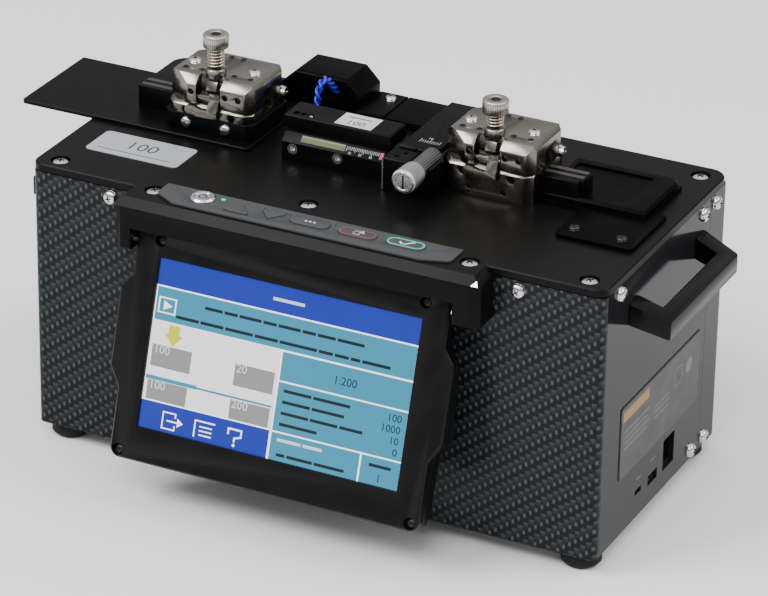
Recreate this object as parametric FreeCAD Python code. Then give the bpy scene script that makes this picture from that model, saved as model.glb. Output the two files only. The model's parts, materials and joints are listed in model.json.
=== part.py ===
import FreeCAD, Part
import math
import os

V = FreeCAD.Vector
os.makedirs("parts", exist_ok=True)

# ---------------------------------------------------------------- driving sizes, mm
# Drawn with X to the right, Y to the back and Z up about the body's centre line, desk at z = 0.
# save() then moves every piece so that the origin is the middle of the overall footprint.
BODY_W = 236.0
BODY_D = 115.5
BODY_H = 110.5              # underside of the panels to the top of the deck plate
FOOT_H = 6.5
FOOT_D = 15.5
FOOT_IN_X = 9.3             # foot centre in from the body's sides
FOOT_IN_Y = 9.75
FOOT_EDGE = 1.4
FOOT_TAPER = 0.5
PANEL_T = 1.5
CORNER_R = 3.0
DECK_T = 3.0
DECK_GAP = 0.6              # shadow line between the panels and the deck plate
DECK_OVER = 0.4             # deck plate stands past the panels
DECK = FOOT_H + BODY_H      # height of the deck's top face
UNDER_DECK = DECK - DECK_T
HALF_W = BODY_W / 2
FRONT_Y = -BODY_D / 2       # the body's front face
SEAM_Y = BODY_D / 2 - 16.25  # rear cover starts here on both sides

# carrying handles
HANDLE_ROOT_Y = 35.5
HANDLE_GRIP_Y = 32.5
HANDLE_OUT = 15.3
HANDLE_GRIP_W = 6.0
HANDLE_ARM_W = 8.5
HANDLE_TOP = DECK - 14.5
HANDLE_DROP = 5.5
HANDLE_ROOT_H = 8.8
HANDLE_GRIP_H = 7.5

# clearances
RUN = 0.05                  # running fit, radial
KEY_GAP = 0.06              # key to its window
SIDE_GAP = 0.4              # between moving and standing faces
SEAT = 0.05                 # stand-off of a piece that turns on a seat

# screws: head diameters and heights
PAN_D = 5.6
PAN_H = 2.2
DECK_HEAD_D = 5.6
DECK_HEAD_H = 1.6
MON_HEAD_D = 4.2
MON_HEAD_H = 1.4
LID_HEAD_D = 5.0
SMALL_D = 4.4
SMALL_H = 1.5
SCREW_SIDES = 12
ROUND_SIDES = 24            # flats on the larger round pieces

# monitor
SCREEN_W = 108.4
SCREEN_H = 65.0
TILT = 17.0
SCREEN_TOP_Y = FRONT_Y - 9.45
SCREEN_TOP_Z = DECK - 22.2
MON_X = -3.0
MON_HALF = 64.5
MON_GRIP = 4.5              # the finger swells stand out this far
MON_ABOVE = 9.2             # bezel above the screen
MON_BELOW = 13.4            # bezel below the screen
BEZEL_T = 4.0
GLASS_SET = 1.0             # glass sits this far behind the bezel's face
GLASS_LAP = 2.0
HINGE_Y = FRONT_Y - 7.15
HINGE_Z = DECK - 18.1
HINGE_R = 1.2

# front bracket
BRK_X0 = -75.7
BRK_X1 = 74.3
BRK_Y = FRONT_Y - 13.25
BRK_BEVEL = 3.0
BRK_BAR_Z = DECK - 11.5
BRK_LEG_Z = DECK - 20.5
NOTCH_X0 = -68.3
NOTCH_X1 = 64.0

# keypad
PAD_X0 = -62.3
PAD_X1 = 59.4
PAD_Y0 = FRONT_Y - 8.65
PAD_Y1 = FRONT_Y + 5.75
PAD_T = 0.8
PAD_R = 2.0
PAD_CUT_L = (9.5, 5.5)      # the two cut front corners, along X and along Y
PAD_CUT_R = (11.0, 3.6)
KEY_RISE = 0.5
KEY_LEN = 1.6
KEY_WELL = 1.0
KEY_TRAVEL = 0.5

# clamps
CLAMP_LX = -70.3
CLAMP_RX = 46.9
BLOCK_W = 36.0
LID_W = 37.6
CLAMP_Y0 = -6.6
CLAMP_Y1 = 23.6
BLOCK_H = 12.5
LID_H = 11.0
PART_Z = DECK + BLOCK_H     # parting plane, the fibre lies here
FIBRE_Y = 7.6
CHANNEL_W = 6.4
CHANNEL_UP = 6.5
CHANNEL_DOWN = 3.5
CHANNEL_IN = 8.0
PIVOT_Y = 19.0
PIVOT_Z = PART_Z + 0.5
PIVOT_R = 1.5
KNOB_Y = 0.0
KNOB_D = 10.0
KNOB_H = 5.5
STEM_R = 1.8
BOSS_R = 4.0
BOSS_H = 3.0
SPRING_R = 3.0
SPRING_WIRE = 0.7
SPRING_PITCH = 1.25
SPRING_FACETS = 10          # straight pieces in one turn
NOTCH_HALF = 5.3
NOTCH_BACK = -1.6
EAR_T = 3.0
EAR_R = 2.6
LATCH_PIN_Y = -5.0
LATCH_PIN_Z = PART_Z + 2.8
LATCH_PIN_R = 1.0
LATCH_X0 = 0.4              # lever arm, from the clamp's centre line
LATCH_X1 = 4.6

# left stage
EXT_T = 1.5
EXT_X0 = -HALF_W - 31.5
EXT_X1 = -50.0
EXT_Y0 = -12.5
EXT_Y1 = 35.3
LEFT_BASE_H = 6.5
GUIDE_W = 8.2
GUIDE_L = 16.8
GUIDE_TOP = PART_Z - 1.7

BASE_W = 38.4
LID_SCREW_DX = (-13.2, 12.6)
SPRING_L = 8.5              # spring lengths: the left knob is screwed further out
SPRING_R_LEN = 5.8
KNURL_N = 18
KNURL_D = 0.45
KNOB_CROWN = 0.7
BACK_ROUND = 4.6

# right stage
COVER_X0 = 65.4
COVER_STEP_X = 83.0
COVER_X1 = HALF_W - 9.6
COVER_Y0 = -1.0
COVER_Y1 = 34.8
COVER_TOP = DECK + 4.4
LUG_X1 = HALF_W - 4.5
LUG_Y0 = -25.0
LUG_Y1 = 8.0
LUG_T = 1.5
GUIDE_X1 = 82.0

# centre stage
SOCKET_H = 2.0
BLADE_X0 = -62.6
BLADE_X1 = -28.5
BLADE_Y0 = 39.0
BLADE_Y1 = 57.3
BLADE_H = 13.5
FLAT_H = 3.5
FLAT_Y0 = 35.2
FLAT_SPLIT = -16.2          # groove between the cover's two fields
DECK_SCREW_X = -7.0
DECK_SCREW_Y = 29.0
WIRE_R = 0.55
WIRE_APART = 0.1
WIRE_HOLE_R = 1.6
WIRE_X = -39.0
WIRE_Y = 24.0
WIRE_IN = 1.2               # the ends go this deep into the deck and the cover
WIRE_RISE = 11.5            # height of the bend's centre over the deck
WIRE_BEND = 5.0
WIRE_LEAN = 45.0            # slope of the last run
RAIL_X0 = -36.0
RAIL_X1 = 6.5
RAIL_Y0 = -11.5
RAIL_Y1 = 6.0
RAIL_H = 10.8
RAIL_BEVEL = 3.2
BAR_X0 = -38.0
BAR_X1 = 7.0
BAR_Y0 = -6.0
BAR_Y1 = 7.2
BAR_H = 5.6
KEEL_HALF = 2.0
KEEL_H = 2.0
KEEL_Y = 0.0

# micrometer
MIC_X = 24.5
MIC_Z = DECK + 11.5
BARREL_R = 3.8
BARREL_Y0 = -28.4
BARREL_Y1 = -5.5
SEAT_Y = 2.5                # blind end of the barrel's stem in the arm
STEM_MIC_R = 3.0
THIMBLE_R = 4.8
THIMBLE_Y0 = -31.4
THIMBLE_Y1 = -21.4
THIMBLE_WALL = 2.0
SPINDLE_R = 1.6
SPINDLE_TRAVEL = 1.0
STOP_R = 1.9
STOP_T = 2.0
SPINDLE_END = FIBRE_Y - SPINDLE_TRAVEL - STOP_T
WINDOW_Y0 = 3.4
WINDOW_Y1 = 14.0
ARM_X0 = 11.0
ARM_X1 = 27.2
ARM_Y1 = 38.0
ARM_H = 14.5
YOKE_X0 = 9.6
YOKE_X1 = 30.0
YOKE_Y0 = -18.5
YOKE_Y1 = -7.4
YOKE_H = 13.5
YOKE_WALL = 2.6


# ---------------------------------------------------------------- helpers
def box(x0, x1, y0, y1, z0, z1):
    return Part.makeBox(x1 - x0, y1 - y0, z1 - z0, V(x0, y0, z0))


def rod(radius, start, end):
    a, b = V(*start), V(*end)
    return Part.makeCylinder(radius, (b - a).Length, a, b - a)


def cone(r0, r1, start, end):
    a, b = V(*start), V(*end)
    return Part.makeCone(r0, r1, (b - a).Length, a, b - a)


def solid_of(faces):
    """Closed solid sewn from flat faces."""
    skin = Part.makeCompound([Part.Face(Part.makePolygon(f + [f[0]])) for f in faces])
    skin.sewShape()
    body = Part.makeSolid(skin.Shells[0])
    if body.Volume < 0:
        body.reverse()
    return body


def faceted(radius, start, end, sides=12, far=None):
    """Small round piece or hole with flat sides; 'far' is its radius at the end."""
    a, b = V(*start), V(*end)
    axis = (b - a).normalize()
    u = axis.cross(V(1, 0, 0) if abs(axis.z) > 0.9 else V(0, 0, 1)).normalize()
    w = axis.cross(u)
    low, high = [], []
    for i in range(sides):
        t = 2 * math.pi * i / sides
        ray = u * math.cos(t) + w * math.sin(t)
        low.append(a + ray * radius)
        high.append(b + ray * (far or radius))
    flanks = [[low[i - 1], low[i], high[i], high[i - 1]] for i in range(sides)]
    return solid_of([low, high] + flanks)


def fuse(shapes):
    whole = shapes[0]
    for s in shapes[1:]:
        whole = whole.fuse(s)
    return whole.removeSplitter()


def cut(shape, tools):
    for t in tools:
        shape = shape.cut(t)
    return shape


def prism(points, sweep):
    """A flat closed outline of 3-D points pushed along a vector."""
    pts = [V(*p) for p in points]
    return Part.Face(Part.makePolygon(pts + [pts[0]])).extrude(V(*sweep))


def outline_xy(points, z0, z1):
    return prism([(x, y, z0) for x, y in points], (0, 0, z1 - z0))


def rounded(x0, x1, y0, y1, z0, z1, r, corners="abcd"):
    """Upright plate; corners a b c d are front-left, front-right, back-right, back-left."""
    body = box(x0, x1, y0, y1, z0, z1)
    where = {"a": (x0, y0), "b": (x1, y0), "c": (x1, y1), "d": (x0, y1)}
    picked = []
    for e in body.Edges:
        m = e.CenterOfMass
        for k in corners:
            if abs(m.x - where[k][0]) < 1e-6 and abs(m.y - where[k][1]) < 1e-6:
                picked.append(e)
    return body.makeFillet(r, picked)


def edges_where(shape, test):
    return [e for e in shape.Edges if test(e.BoundBox)]


def bevel(shape, size, test):
    return shape.makeChamfer(size, edges_where(shape, test))


def rounding(shape, size, test):
    return shape.makeFillet(size, edges_where(shape, test))


def on_top(z):
    return lambda b: abs(b.ZMin - z) < 1e-5 and abs(b.ZMax - z) < 1e-5


def slot(x, y, length, width, z0, z1):
    """Round-ended upright bar along X."""
    r = width / 2
    half = length / 2 - r
    return fuse([
        box(x - half, x + half, y - r, y + r, z0, z1),
        rod(r, (x - half, y, z0), (x - half, y, z1)),
        rod(r, (x + half, y, z0), (x + half, y, z1)),
    ])


def screw(head_d, head_h):
    """Plain screw head with a conical crown, seated at the origin and facing +Z."""
    return faceted(head_d / 2, (0, 0, 0), (0, 0, head_h), SCREW_SIDES, head_d * 0.3)


def place(shape, pos, out=(0, 0, 1), spin=0.0):
    """Copy of a shape whose own +Z is turned onto the direction 'out'."""
    s = shape.copy()
    s.rotate(V(0, 0, 0), V(0, 0, 1), spin)
    turn = FreeCAD.Rotation(V(0, 0, 1), V(*out))
    s.Placement = FreeCAD.Placement(V(*pos), turn).multiply(s.Placement)
    return s


def monitor_point(y, z):
    """A point of the upright monitor drawing, in the tilted place."""
    c, t = math.cos(math.radians(TILT)), math.sin(math.radians(TILT))
    return SCREEN_TOP_Y + y * c + z * t, SCREEN_TOP_Z - y * t + z * c


FRONT_MOST = monitor_point(-GLASS_SET, -(SCREEN_H + MON_BELOW))[0]
REAR_MOST = BODY_D / 2 + PAN_H
FRAME_X = (EXT_X0 + BODY_W / 2 + HANDLE_OUT) / 2
FRAME_Y = (FRONT_MOST + REAR_MOST) / 2


def save(name, *shapes):
    shape = Part.makeCompound([s.copy() for s in shapes]) if len(shapes) > 1 else shapes[0].copy()
    shape.translate(V(-FRAME_X, -FRAME_Y, 0))
    shape.exportStep("parts/" + name + ".step")


# ---------------------------------------------------------------- body
hx = BODY_W / 2
hy = BODY_D / 2
panel_top = UNDER_DECK - DECK_GAP
in_x = hx - PANEL_T
in_y = hy - PANEL_T

front_screws = [(-84.0, DECK - 7.5), (84.0, DECK - 7.5)]
side_screws = [(-hy + 14.25, DECK - 7.0), (SEAM_Y - 7.5, DECK - 7.8), (SEAM_Y + 4.7, DECK - 7.8),
               (SEAM_Y - 9.0, FOOT_H + 3.6), (SEAM_Y + 3.7, FOOT_H + 3.6)]
rear_screws = [(-95.0, DECK - 7.8), (95.0, DECK - 7.8),
               (-95.0, FOOT_H + 8.0), (95.0, FOOT_H + 8.0)]
deck_screws = [(-hx + 8.8, -hy + 6.35), (hx - 9.0, -hy + 6.35), (hx - 8.4, hy - 7.65),
               (-hx + 8.4, hy - 7.65), (-8.8, -hy + 15.75), (-64.9, -hy - 0.45), (64.9, -hy - 0.45)]
pan_screw = screw(PAN_D, PAN_H)

feet_at = [(sx * (hx - FOOT_IN_X), sy * (hy - FOOT_IN_Y)) for sx in (-1, 1) for sy in (-1, 1)]

# ports on the right side: centre along Y, centre height, opening along Y and Z
DC = dict(y=10.2, z=FOOT_H + 14.0, w=10.6, h=13.0)
USB = dict(y=-4.9, z=FOOT_H + 10.1, w=8.8, h=4.2)
MICRO = dict(y=-18.6, z=FOOT_H + 10.8, w=5.8, h=2.1)
PORT_DEEP = 14.0


def port_hole(p, depth, grow=0.0):
    return box(hx - depth, hx + 1, p["y"] - p["w"] / 2 - grow, p["y"] + p["w"] / 2 + grow,
               p["z"] - p["h"] / 2 - grow, p["z"] + p["h"] / 2 + grow)


core = rounded(-in_x, in_x, -in_y, in_y, FOOT_H, UNDER_DECK, CORNER_R - PANEL_T)
save("chassis_core", cut(core, [port_hole(p, PORT_DEEP, 0.8) for p in (DC, USB, MICRO)]))

# front panel with rolled vertical corners
skin = rounded(-hx, hx, -hy, hy, FOOT_H, panel_top, CORNER_R)
hollow = rounded(-in_x, in_x, -in_y, in_y, FOOT_H - 1, panel_top + 1, CORNER_R - PANEL_T)
shell = skin.cut(hollow)
ret = CORNER_R + 0.2
HAIR = 0.15                 # hairline seam between neighbouring panels
front_half = box(-hx - 1, hx + 1, -hy - 1, -hy + ret, 0, DECK)
front = shell.common(front_half)
save("front_panel", front)

rear_half = box(-hx - 1, hx + 1, SEAM_Y, hy + 1, 0, DECK)
rear = shell.common(rear_half)
save("rear_cover", rear)

for side, sign in (("left", -1), ("right", 1)):
    a, b = sorted((sign * in_x, sign * hx))
    panel = box(a, b, -hy + ret + HAIR, SEAM_Y - HAIR, FOOT_H, panel_top)
    if sign > 0:
        panel = cut(panel, [port_hole(p, 4.0) for p in (DC, USB, MICRO)])
    save("side_panel_" + side, panel)

pans = [place(pan_screw, (x, -hy, z), (0, -1, 0), 20) for x, z in front_screws]
for y, z in side_screws:
    pans.append(place(pan_screw, (hx, y, z), (1, 0, 0), 35))
    pans.append(place(pan_screw, (-hx, y, z), (-1, 0, 0), 10))
pans += [place(pan_screw, (x, hy, z), (0, 1, 0), 15) for x, z in rear_screws]
save("panel_screws", *pans)

# deck plate: flat plate with a bevelled tongue over the monitor bracket
deck_x = hx + DECK_OVER
deck_y = hy + DECK_OVER
deck = rounded(-deck_x, deck_x, -deck_y, deck_y, UNDER_DECK, DECK, 7.0, "cd")
deck = rounding(deck, 5.0, lambda b: b.ZLength > 2 and b.YMax < -deck_y + 0.01)
deck = bevel(deck, 0.5, on_top(DECK))
tongue = box(BRK_X0, BRK_X1, BRK_Y, -deck_y + 2.0, UNDER_DECK, DECK)
tongue = bevel(tongue, BRK_BEVEL - 0.01, lambda b: on_top(DECK)(b) and b.YMin < -deck_y)
deck = deck.fuse(tongue.common(box(-hx, hx, BRK_Y - 1, -deck_y + 0.6, 0, DECK))).removeSplitter()
HEAD_WELL_R = 3.9
HEAD_WELL = 1.9
deck_cuts = []
for x, y in deck_screws:
    deck_cuts.append(faceted(HEAD_WELL_R, (x, y, DECK - HEAD_WELL), (x, y, DECK + 1)))

# keypad: key positions and outlines, shared by the overlay, the wells and the keys
PWR_X, PWR_Y, PWR_R = -44.4, FRONT_Y - 0.35, 3.3
RING_R = 4.8
RING_H = 1.2
RING_BEVEL = 0.6
LED_X, LED_Y, LED_R = -37.2, FRONT_Y + 2.35, 0.9
keys = {
    "key_up": dict(kind="tri", x=-28.1, y=FRONT_Y - 1.85, w=11.0, d=7.0, point=1),
    "key_down": dict(kind="tri", x=-15.3, y=FRONT_Y - 1.35, w=11.0, d=7.0, point=-1),
    "key_fn": dict(kind="slot", x=0.2, y=FRONT_Y - 0.25, w=16.0, d=6.2),
    "key_reset": dict(kind="slot", x=19.7, y=FRONT_Y - 0.45, w=15.5, d=6.2),
    "key_set": dict(kind="slot", x=39.1, y=FRONT_Y - 0.05, w=15.4, d=6.4),
}


def key_shape(k, grow, z0, z1):
    """Outline of a key, grown sideways for its window."""
    if k["kind"] == "slot":
        return slot(k["x"], k["y"], k["w"] + 2 * grow, k["d"] + 2 * grow, z0, z1)
    w, d = k["w"] / 2 + 1.6 * grow, k["d"] / 2 + 1.2 * grow
    base, tip = k["y"] - k["point"] * d, k["y"] + k["point"] * d
    tri = outline_xy([(k["x"] - w, base), (k["x"] + w, base), (k["x"], tip)], z0, z1)
    return rounding(tri, 0.9 + grow, lambda b: b.ZLength > 0.5 * (z1 - z0) and b.XLength < 0.01)


for k in keys.values():
    deck_cuts.append(key_shape(k, KEY_GAP, DECK - KEY_WELL, DECK + 1))
deck_cuts.append(rod(RING_R, (PWR_X, PWR_Y, DECK - KEY_WELL), (PWR_X, PWR_Y, DECK + 1)))
deck_cuts.append(rod(WIRE_HOLE_R, (WIRE_X, WIRE_Y, DECK - WIRE_IN), (WIRE_X, WIRE_Y, DECK + 1)))
save("deck_plate", cut(deck, deck_cuts))

deck_screw = screw(DECK_HEAD_D, DECK_HEAD_H)
save("deck_screws", *[place(deck_screw, (x, y, DECK - HEAD_WELL), (0, 0, 1), 12 * i)
                      for i, (x, y) in enumerate(deck_screws)])

foot = fuse([faceted(FOOT_D / 2 - FOOT_EDGE, (0, 0, 0), (0, 0, FOOT_EDGE), ROUND_SIDES, FOOT_D / 2),
             faceted(FOOT_D / 2, (0, 0, FOOT_EDGE), (0, 0, FOOT_H), ROUND_SIDES, FOOT_D / 2 - FOOT_TAPER)])
save("rubber_feet", *[place(foot, (x, y, 0)) for x, y in feet_at])

# carrying handles: loops that lean down from the side panels
def handle(sign):
    x0, x1 = sign * hx, sign * (hx + HANDLE_OUT)
    xw = sign * (hx + HANDLE_OUT - HANDLE_GRIP_W)
    root, grip = HANDLE_TOP, HANDLE_TOP - HANDLE_DROP
    side = prism([(x0, -HANDLE_ROOT_Y, root), (x1, -HANDLE_ROOT_Y, grip),
                  (x1, -HANDLE_ROOT_Y, grip - HANDLE_GRIP_H),
                  (x0, -HANDLE_ROOT_Y, root - HANDLE_ROOT_H)], (0, 2 * HANDLE_ROOT_Y, 0))
    plan = outline_xy([(x0, -HANDLE_ROOT_Y), (x1, -HANDLE_GRIP_Y),
                       (x1, HANDLE_GRIP_Y), (x0, HANDLE_ROOT_Y)], 0, DECK)
    wy = HANDLE_ROOT_Y - HANDLE_ARM_W
    gy = HANDLE_GRIP_Y - HANDLE_ARM_W + 1.6
    window = outline_xy([(x0 - sign, -wy), (xw, -gy), (xw, gy), (x0 - sign, wy)], 0, DECK)
    loop = side.common(plan).cut(window)
    outer = edges_where(loop, lambda b: b.ZLength > 4 and b.XLength < 0.01 and b.YLength < 0.01
                        and abs(abs(b.XMin) - abs(x1)) < 0.01)
    loop = loop.makeFillet(1.2, outer)
    return loop


save("handle_left", handle(-1))
save("handle_right", handle(1))

# label plates
NAME_T = 0.3
NAME_W = 39.6
NAME_D = 18.4
NAME_X = -hx + 11.4
NAME_Y = -hy + 19.55
LABEL_Y = -38.5
LABEL_L = 75.0
LABEL_Z = FOOT_H + 24.0
LABEL_H = 30.0
save("nameplate", rounded(NAME_X, NAME_X + NAME_W, NAME_Y, NAME_Y + NAME_D, DECK, DECK + NAME_T, 2.0))
label = box(hx, hx + NAME_T, LABEL_Y, LABEL_Y + LABEL_L, LABEL_Z, LABEL_Z + LABEL_H)
save("rating_label", label.makeFillet(2.0, edges_where(label, lambda b: b.XLength > 0.2 and b.YLength < 0.01
                                                       and b.ZLength < 0.01)))

# ports
port_in = hx - PORT_DEEP
face_x = hx - PANEL_T
DC_BORE_R = 2.75
DC_BORE_L = 9.5


def port_body(p, face, grow=0.8):
    return box(port_in, face, p["y"] - p["w"] / 2 - grow, p["y"] + p["w"] / 2 + grow,
               p["z"] - p["h"] / 2 - grow, p["z"] + p["h"] / 2 + grow)


inlet = port_body(DC, face_x)
inlet = cut(inlet, [
    box(face_x - 1.6, face_x + 1, DC["y"] - DC["w"] / 2 + 1.4, DC["y"] + DC["w"] / 2 - 1.4,
        DC["z"] - DC["h"] / 2 + 1.6, DC["z"] + DC["h"] / 2 - 1.6),
    rod(DC_BORE_R, (face_x - 1.6 - DC_BORE_L, DC["y"], DC["z"]), (face_x, DC["y"], DC["z"])),
])
save("dc_inlet", inlet)
for name, p, lip in (("usb_port", USB, 0.5), ("micro_usb_port", MICRO, 0.35)):
    body = port_body(p, face_x)
    mouth = box(face_x - 9.0, face_x + 1, p["y"] - p["w"] / 2 + lip, p["y"] + p["w"] / 2 - lip,
                p["z"] - p["h"] / 2 + lip, p["z"] + p["h"] / 2 - lip)
    tab = box(face_x - 9.5, face_x - 1.0, p["y"] - p["w"] / 2 + 3 * lip, p["y"] + p["w"] / 2 - 3 * lip,
              p["z"] - 0.18 * p["h"], p["z"] + 0.1 * p["h"])
    save(name, body.cut(mouth).fuse(tab).removeSplitter())

# ---------------------------------------------------------------- monitor and bracket
brk = box(BRK_X0, BRK_X1, BRK_Y, -hy, BRK_LEG_Z, UNDER_DECK)
brk = bevel(brk, BRK_BEVEL, lambda b: b.ZLength > 10 and b.YMax < BRK_Y + 0.01)
brk = brk.cut(box(NOTCH_X0, NOTCH_X1, BRK_Y - 1, -hy + 1, BRK_LEG_Z - 1, BRK_BAR_Z))
brk = bevel(brk, 0.8, lambda b: abs(b.ZMin - BRK_LEG_Z) < 1e-4 and b.ZLength < 0.01
            and b.YMax < BRK_Y + 0.01)
PIN_IN_LEG = 5.0
PIN_IN_MON = 4.0
mon_x0 = MON_X - MON_HALF
mon_x1 = MON_X + MON_HALF
pin_spans = [(NOTCH_X0 - PIN_IN_LEG, mon_x0 + PIN_IN_MON), (mon_x1 - PIN_IN_MON, NOTCH_X1 + PIN_IN_LEG)]
save("monitor_bracket", cut(brk, [rod(HINGE_R, (a, HINGE_Y, HINGE_Z), (b, HINGE_Y, HINGE_Z))
                                  for a, b in pin_spans]))
save("monitor_hinge_pins", *[rod(HINGE_R, (a, HINGE_Y, HINGE_Z), (b, HINGE_Y, HINGE_Z))
                             for a, b in pin_spans])


def tilted(shape):
    """Monitor pieces are drawn upright with the screen's top edge at y=0 z=0."""
    s = shape.copy()
    s.rotate(V(0, 0, 0), V(1, 0, 0), -TILT)
    s.translate(V(0, SCREEN_TOP_Y, SCREEN_TOP_Z))
    return s


def swell_outline(half, swell, z_top, z_low, y):
    """Monitor outline: straight ends with a swell for the fingers on both sides."""
    one = [(half, z_top), (half, -9.0), (half + swell, -14.5), (half + swell, -44.5),
           (half, -52.0), (half, z_low)]
    pts = [(MON_X + x, y, z) for x, z in one] + [(MON_X - x, y, z) for x, z in reversed(one)]
    return pts


mon_low = -(SCREEN_H + MON_BELOW)
face_y = -GLASS_SET
back_y = face_y + BEZEL_T
bezel = prism(swell_outline(MON_HALF, MON_GRIP, MON_ABOVE, mon_low, face_y), (0, BEZEL_T, 0))
bezel = rounding(bezel, 4.0, lambda b: b.YLength > 3 and b.ZLength < 0.01 and b.ZMax < mon_low + 0.01)
bezel = rounding(bezel, 2.5, lambda b: b.YLength > 3 and b.ZLength < 0.01 and b.XLength < 0.01
                 and -60 < b.ZMin < -5)
bezel = bevel(bezel, 0.8, lambda b: b.YMax < face_y + 0.01)
half_w = SCREEN_W / 2
window = box(MON_X - half_w, MON_X + half_w, face_y - 1, back_y + 1, -SCREEN_H, 0)
window = window.fuse(box(MON_X - half_w - GLASS_LAP, MON_X + half_w + GLASS_LAP, 0, back_y + 1,
                         -SCREEN_H - GLASS_LAP, GLASS_LAP))
mon_screw_at = [(MON_X - 54.6, 6.2), (MON_X + 54.6, 6.2), (MON_X - 61.0, -SCREEN_H - 10.4),
                (MON_X + 61.0, -SCREEN_H - 10.4)]
MON_SCREW_WELL = 2.2
bezel_cuts = [window] + [faceted(MON_HEAD_D / 2 + 0.3, (x, face_y - 1, z), (x, face_y + MON_SCREW_WELL, z))
                         for x, z in mon_screw_at]
PIN_END = 0.3               # room past the pins' ends in the bezel
pin_deep = PIN_IN_MON + PIN_END
bore_spans = [(mon_x0 - 1, mon_x0 + pin_deep), (mon_x1 - pin_deep, mon_x1 + 1)]
save("monitor_bezel", cut(tilted(cut(bezel, bezel_cuts)), [
    rod(HINGE_R + RUN, (a, HINGE_Y, HINGE_Z), (b, HINGE_Y, HINGE_Z)) for a, b in bore_spans]))

glass = box(MON_X - half_w - GLASS_LAP, MON_X + half_w + GLASS_LAP, 0, back_y,
            -SCREEN_H - GLASS_LAP, GLASS_LAP)
save("lcd_panel", tilted(glass))

# rear shell: wedge, thin at the hinge and deep at the bottom
SHELL_TOP_Z = 2.6
SHELL_TOP_D = 2.4
SHELL_LOW_D = 9.4
SHELL_INSET = 1.0
shell_out = swell_outline(MON_HALF - SHELL_INSET, MON_GRIP - 0.2, SHELL_TOP_Z, mon_low + SHELL_INSET, back_y)
shell_body = prism(shell_out, (0, SHELL_LOW_D, 0))
x_far = MON_HALF + MON_GRIP + 5
wedge = prism([(MON_X - x_far, back_y, SHELL_TOP_Z), (MON_X - x_far, back_y + SHELL_TOP_D, SHELL_TOP_Z - 2.0),
               (MON_X - x_far, back_y + SHELL_LOW_D, -46.0),
               (MON_X - x_far, back_y + SHELL_LOW_D, mon_low + 6.0),
               (MON_X - x_far, back_y + SHELL_LOW_D - 3.0, mon_low + SHELL_INSET),
               (MON_X - x_far, back_y, mon_low + SHELL_INSET)], (2 * x_far, 0, 0))
save("monitor_shell", tilted(shell_body.common(wedge)))

mon_screw = screw(MON_HEAD_D, MON_HEAD_H)
save("monitor_screws", *[tilted(place(mon_screw, (x, face_y + MON_SCREW_WELL, z), (0, -1, 0), 25))
                         for x, z in mon_screw_at])

# ---------------------------------------------------------------- keypad
pad = outline_xy([(PAD_X0, PAD_Y1), (PAD_X0, PAD_Y0 + PAD_CUT_L[1]), (PAD_X0 + PAD_CUT_L[0], PAD_Y0),
                  (PAD_X1 - PAD_CUT_R[0], PAD_Y0), (PAD_X1, PAD_Y0 + PAD_CUT_R[1]), (PAD_X1, PAD_Y1)],
                 DECK, DECK + PAD_T)
pad = rounding(pad, PAD_R, lambda b: b.ZLength > 0.5 * PAD_T and b.YMax < PAD_Y1 - 1)
pad_cuts = [key_shape(k, KEY_GAP, DECK - 1, DECK + PAD_T + 1) for k in keys.values()]
pad_cuts.append(rod(RING_R, (PWR_X, PWR_Y, DECK - 1), (PWR_X, PWR_Y, DECK + 2)))
pad_cuts.append(rod(LED_R, (LED_X, LED_Y, DECK - 1), (LED_X, LED_Y, DECK + 2)))
save("keypad_plate", cut(pad, pad_cuts))
key_top = DECK + PAD_T + KEY_RISE
for name, k in keys.items():
    save(name, key_shape(k, 0.0, key_top - KEY_LEN, key_top))

ring_top = DECK + PAD_T + RING_H
ring_edge = ring_top - RING_BEVEL
ring = fuse([faceted(RING_R, (PWR_X, PWR_Y, DECK - KEY_WELL), (PWR_X, PWR_Y, ring_edge), ROUND_SIDES),
             faceted(RING_R, (PWR_X, PWR_Y, ring_edge), (PWR_X, PWR_Y, ring_top), ROUND_SIDES,
                     RING_R - RING_BEVEL)])
ring = ring.cut(rod(PWR_R + RUN, (PWR_X, PWR_Y, DECK - KEY_WELL - 1), (PWR_X, PWR_Y, ring_top + 1)))
save("power_ring", ring)
cap_top = ring_top - 0.3
cap = bevel(rod(PWR_R, (PWR_X, PWR_Y, cap_top - KEY_LEN), (PWR_X, PWR_Y, cap_top)), 0.4, on_top(cap_top))
save("power_button", cap)
save("status_led", faceted(LED_R, (LED_X, LED_Y, DECK), (LED_X, LED_Y, DECK + PAD_T + 0.2)))


# ---------------------------------------------------------------- clamps
def spring(x, y, z0, z1):
    """Square-wire compression spring, made of straight facets round a helix."""
    half = SPRING_WIRE / 2
    rise = z1 - z0 - SPRING_WIRE
    count = round(rise / SPRING_PITCH * SPRING_FACETS)
    rings = []
    for i in range(count + 1):
        a = 2 * math.pi * i / SPRING_FACETS
        z = z0 + half + rise * i / count
        rings.append([V(x + (SPRING_R + dr) * math.cos(a), y + (SPRING_R + dr) * math.sin(a), z + dz)
                      for dr, dz in ((-half, -half), (half, -half), (half, half), (-half, half))])
    faces = [rings[0], rings[-1]]
    for low, high in zip(rings, rings[1:]):
        for k in range(4):
            p, q, r, t = low[k], low[(k + 1) % 4], high[(k + 1) % 4], high[k]
            faces += [[p, q, r], [p, r, t]]
    return solid_of(faces)


def hexagon(x, y, r):
    return [(x + r * math.cos(math.radians(60 * i)), y + r * math.sin(math.radians(60 * i)))
            for i in range(6)]


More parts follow.
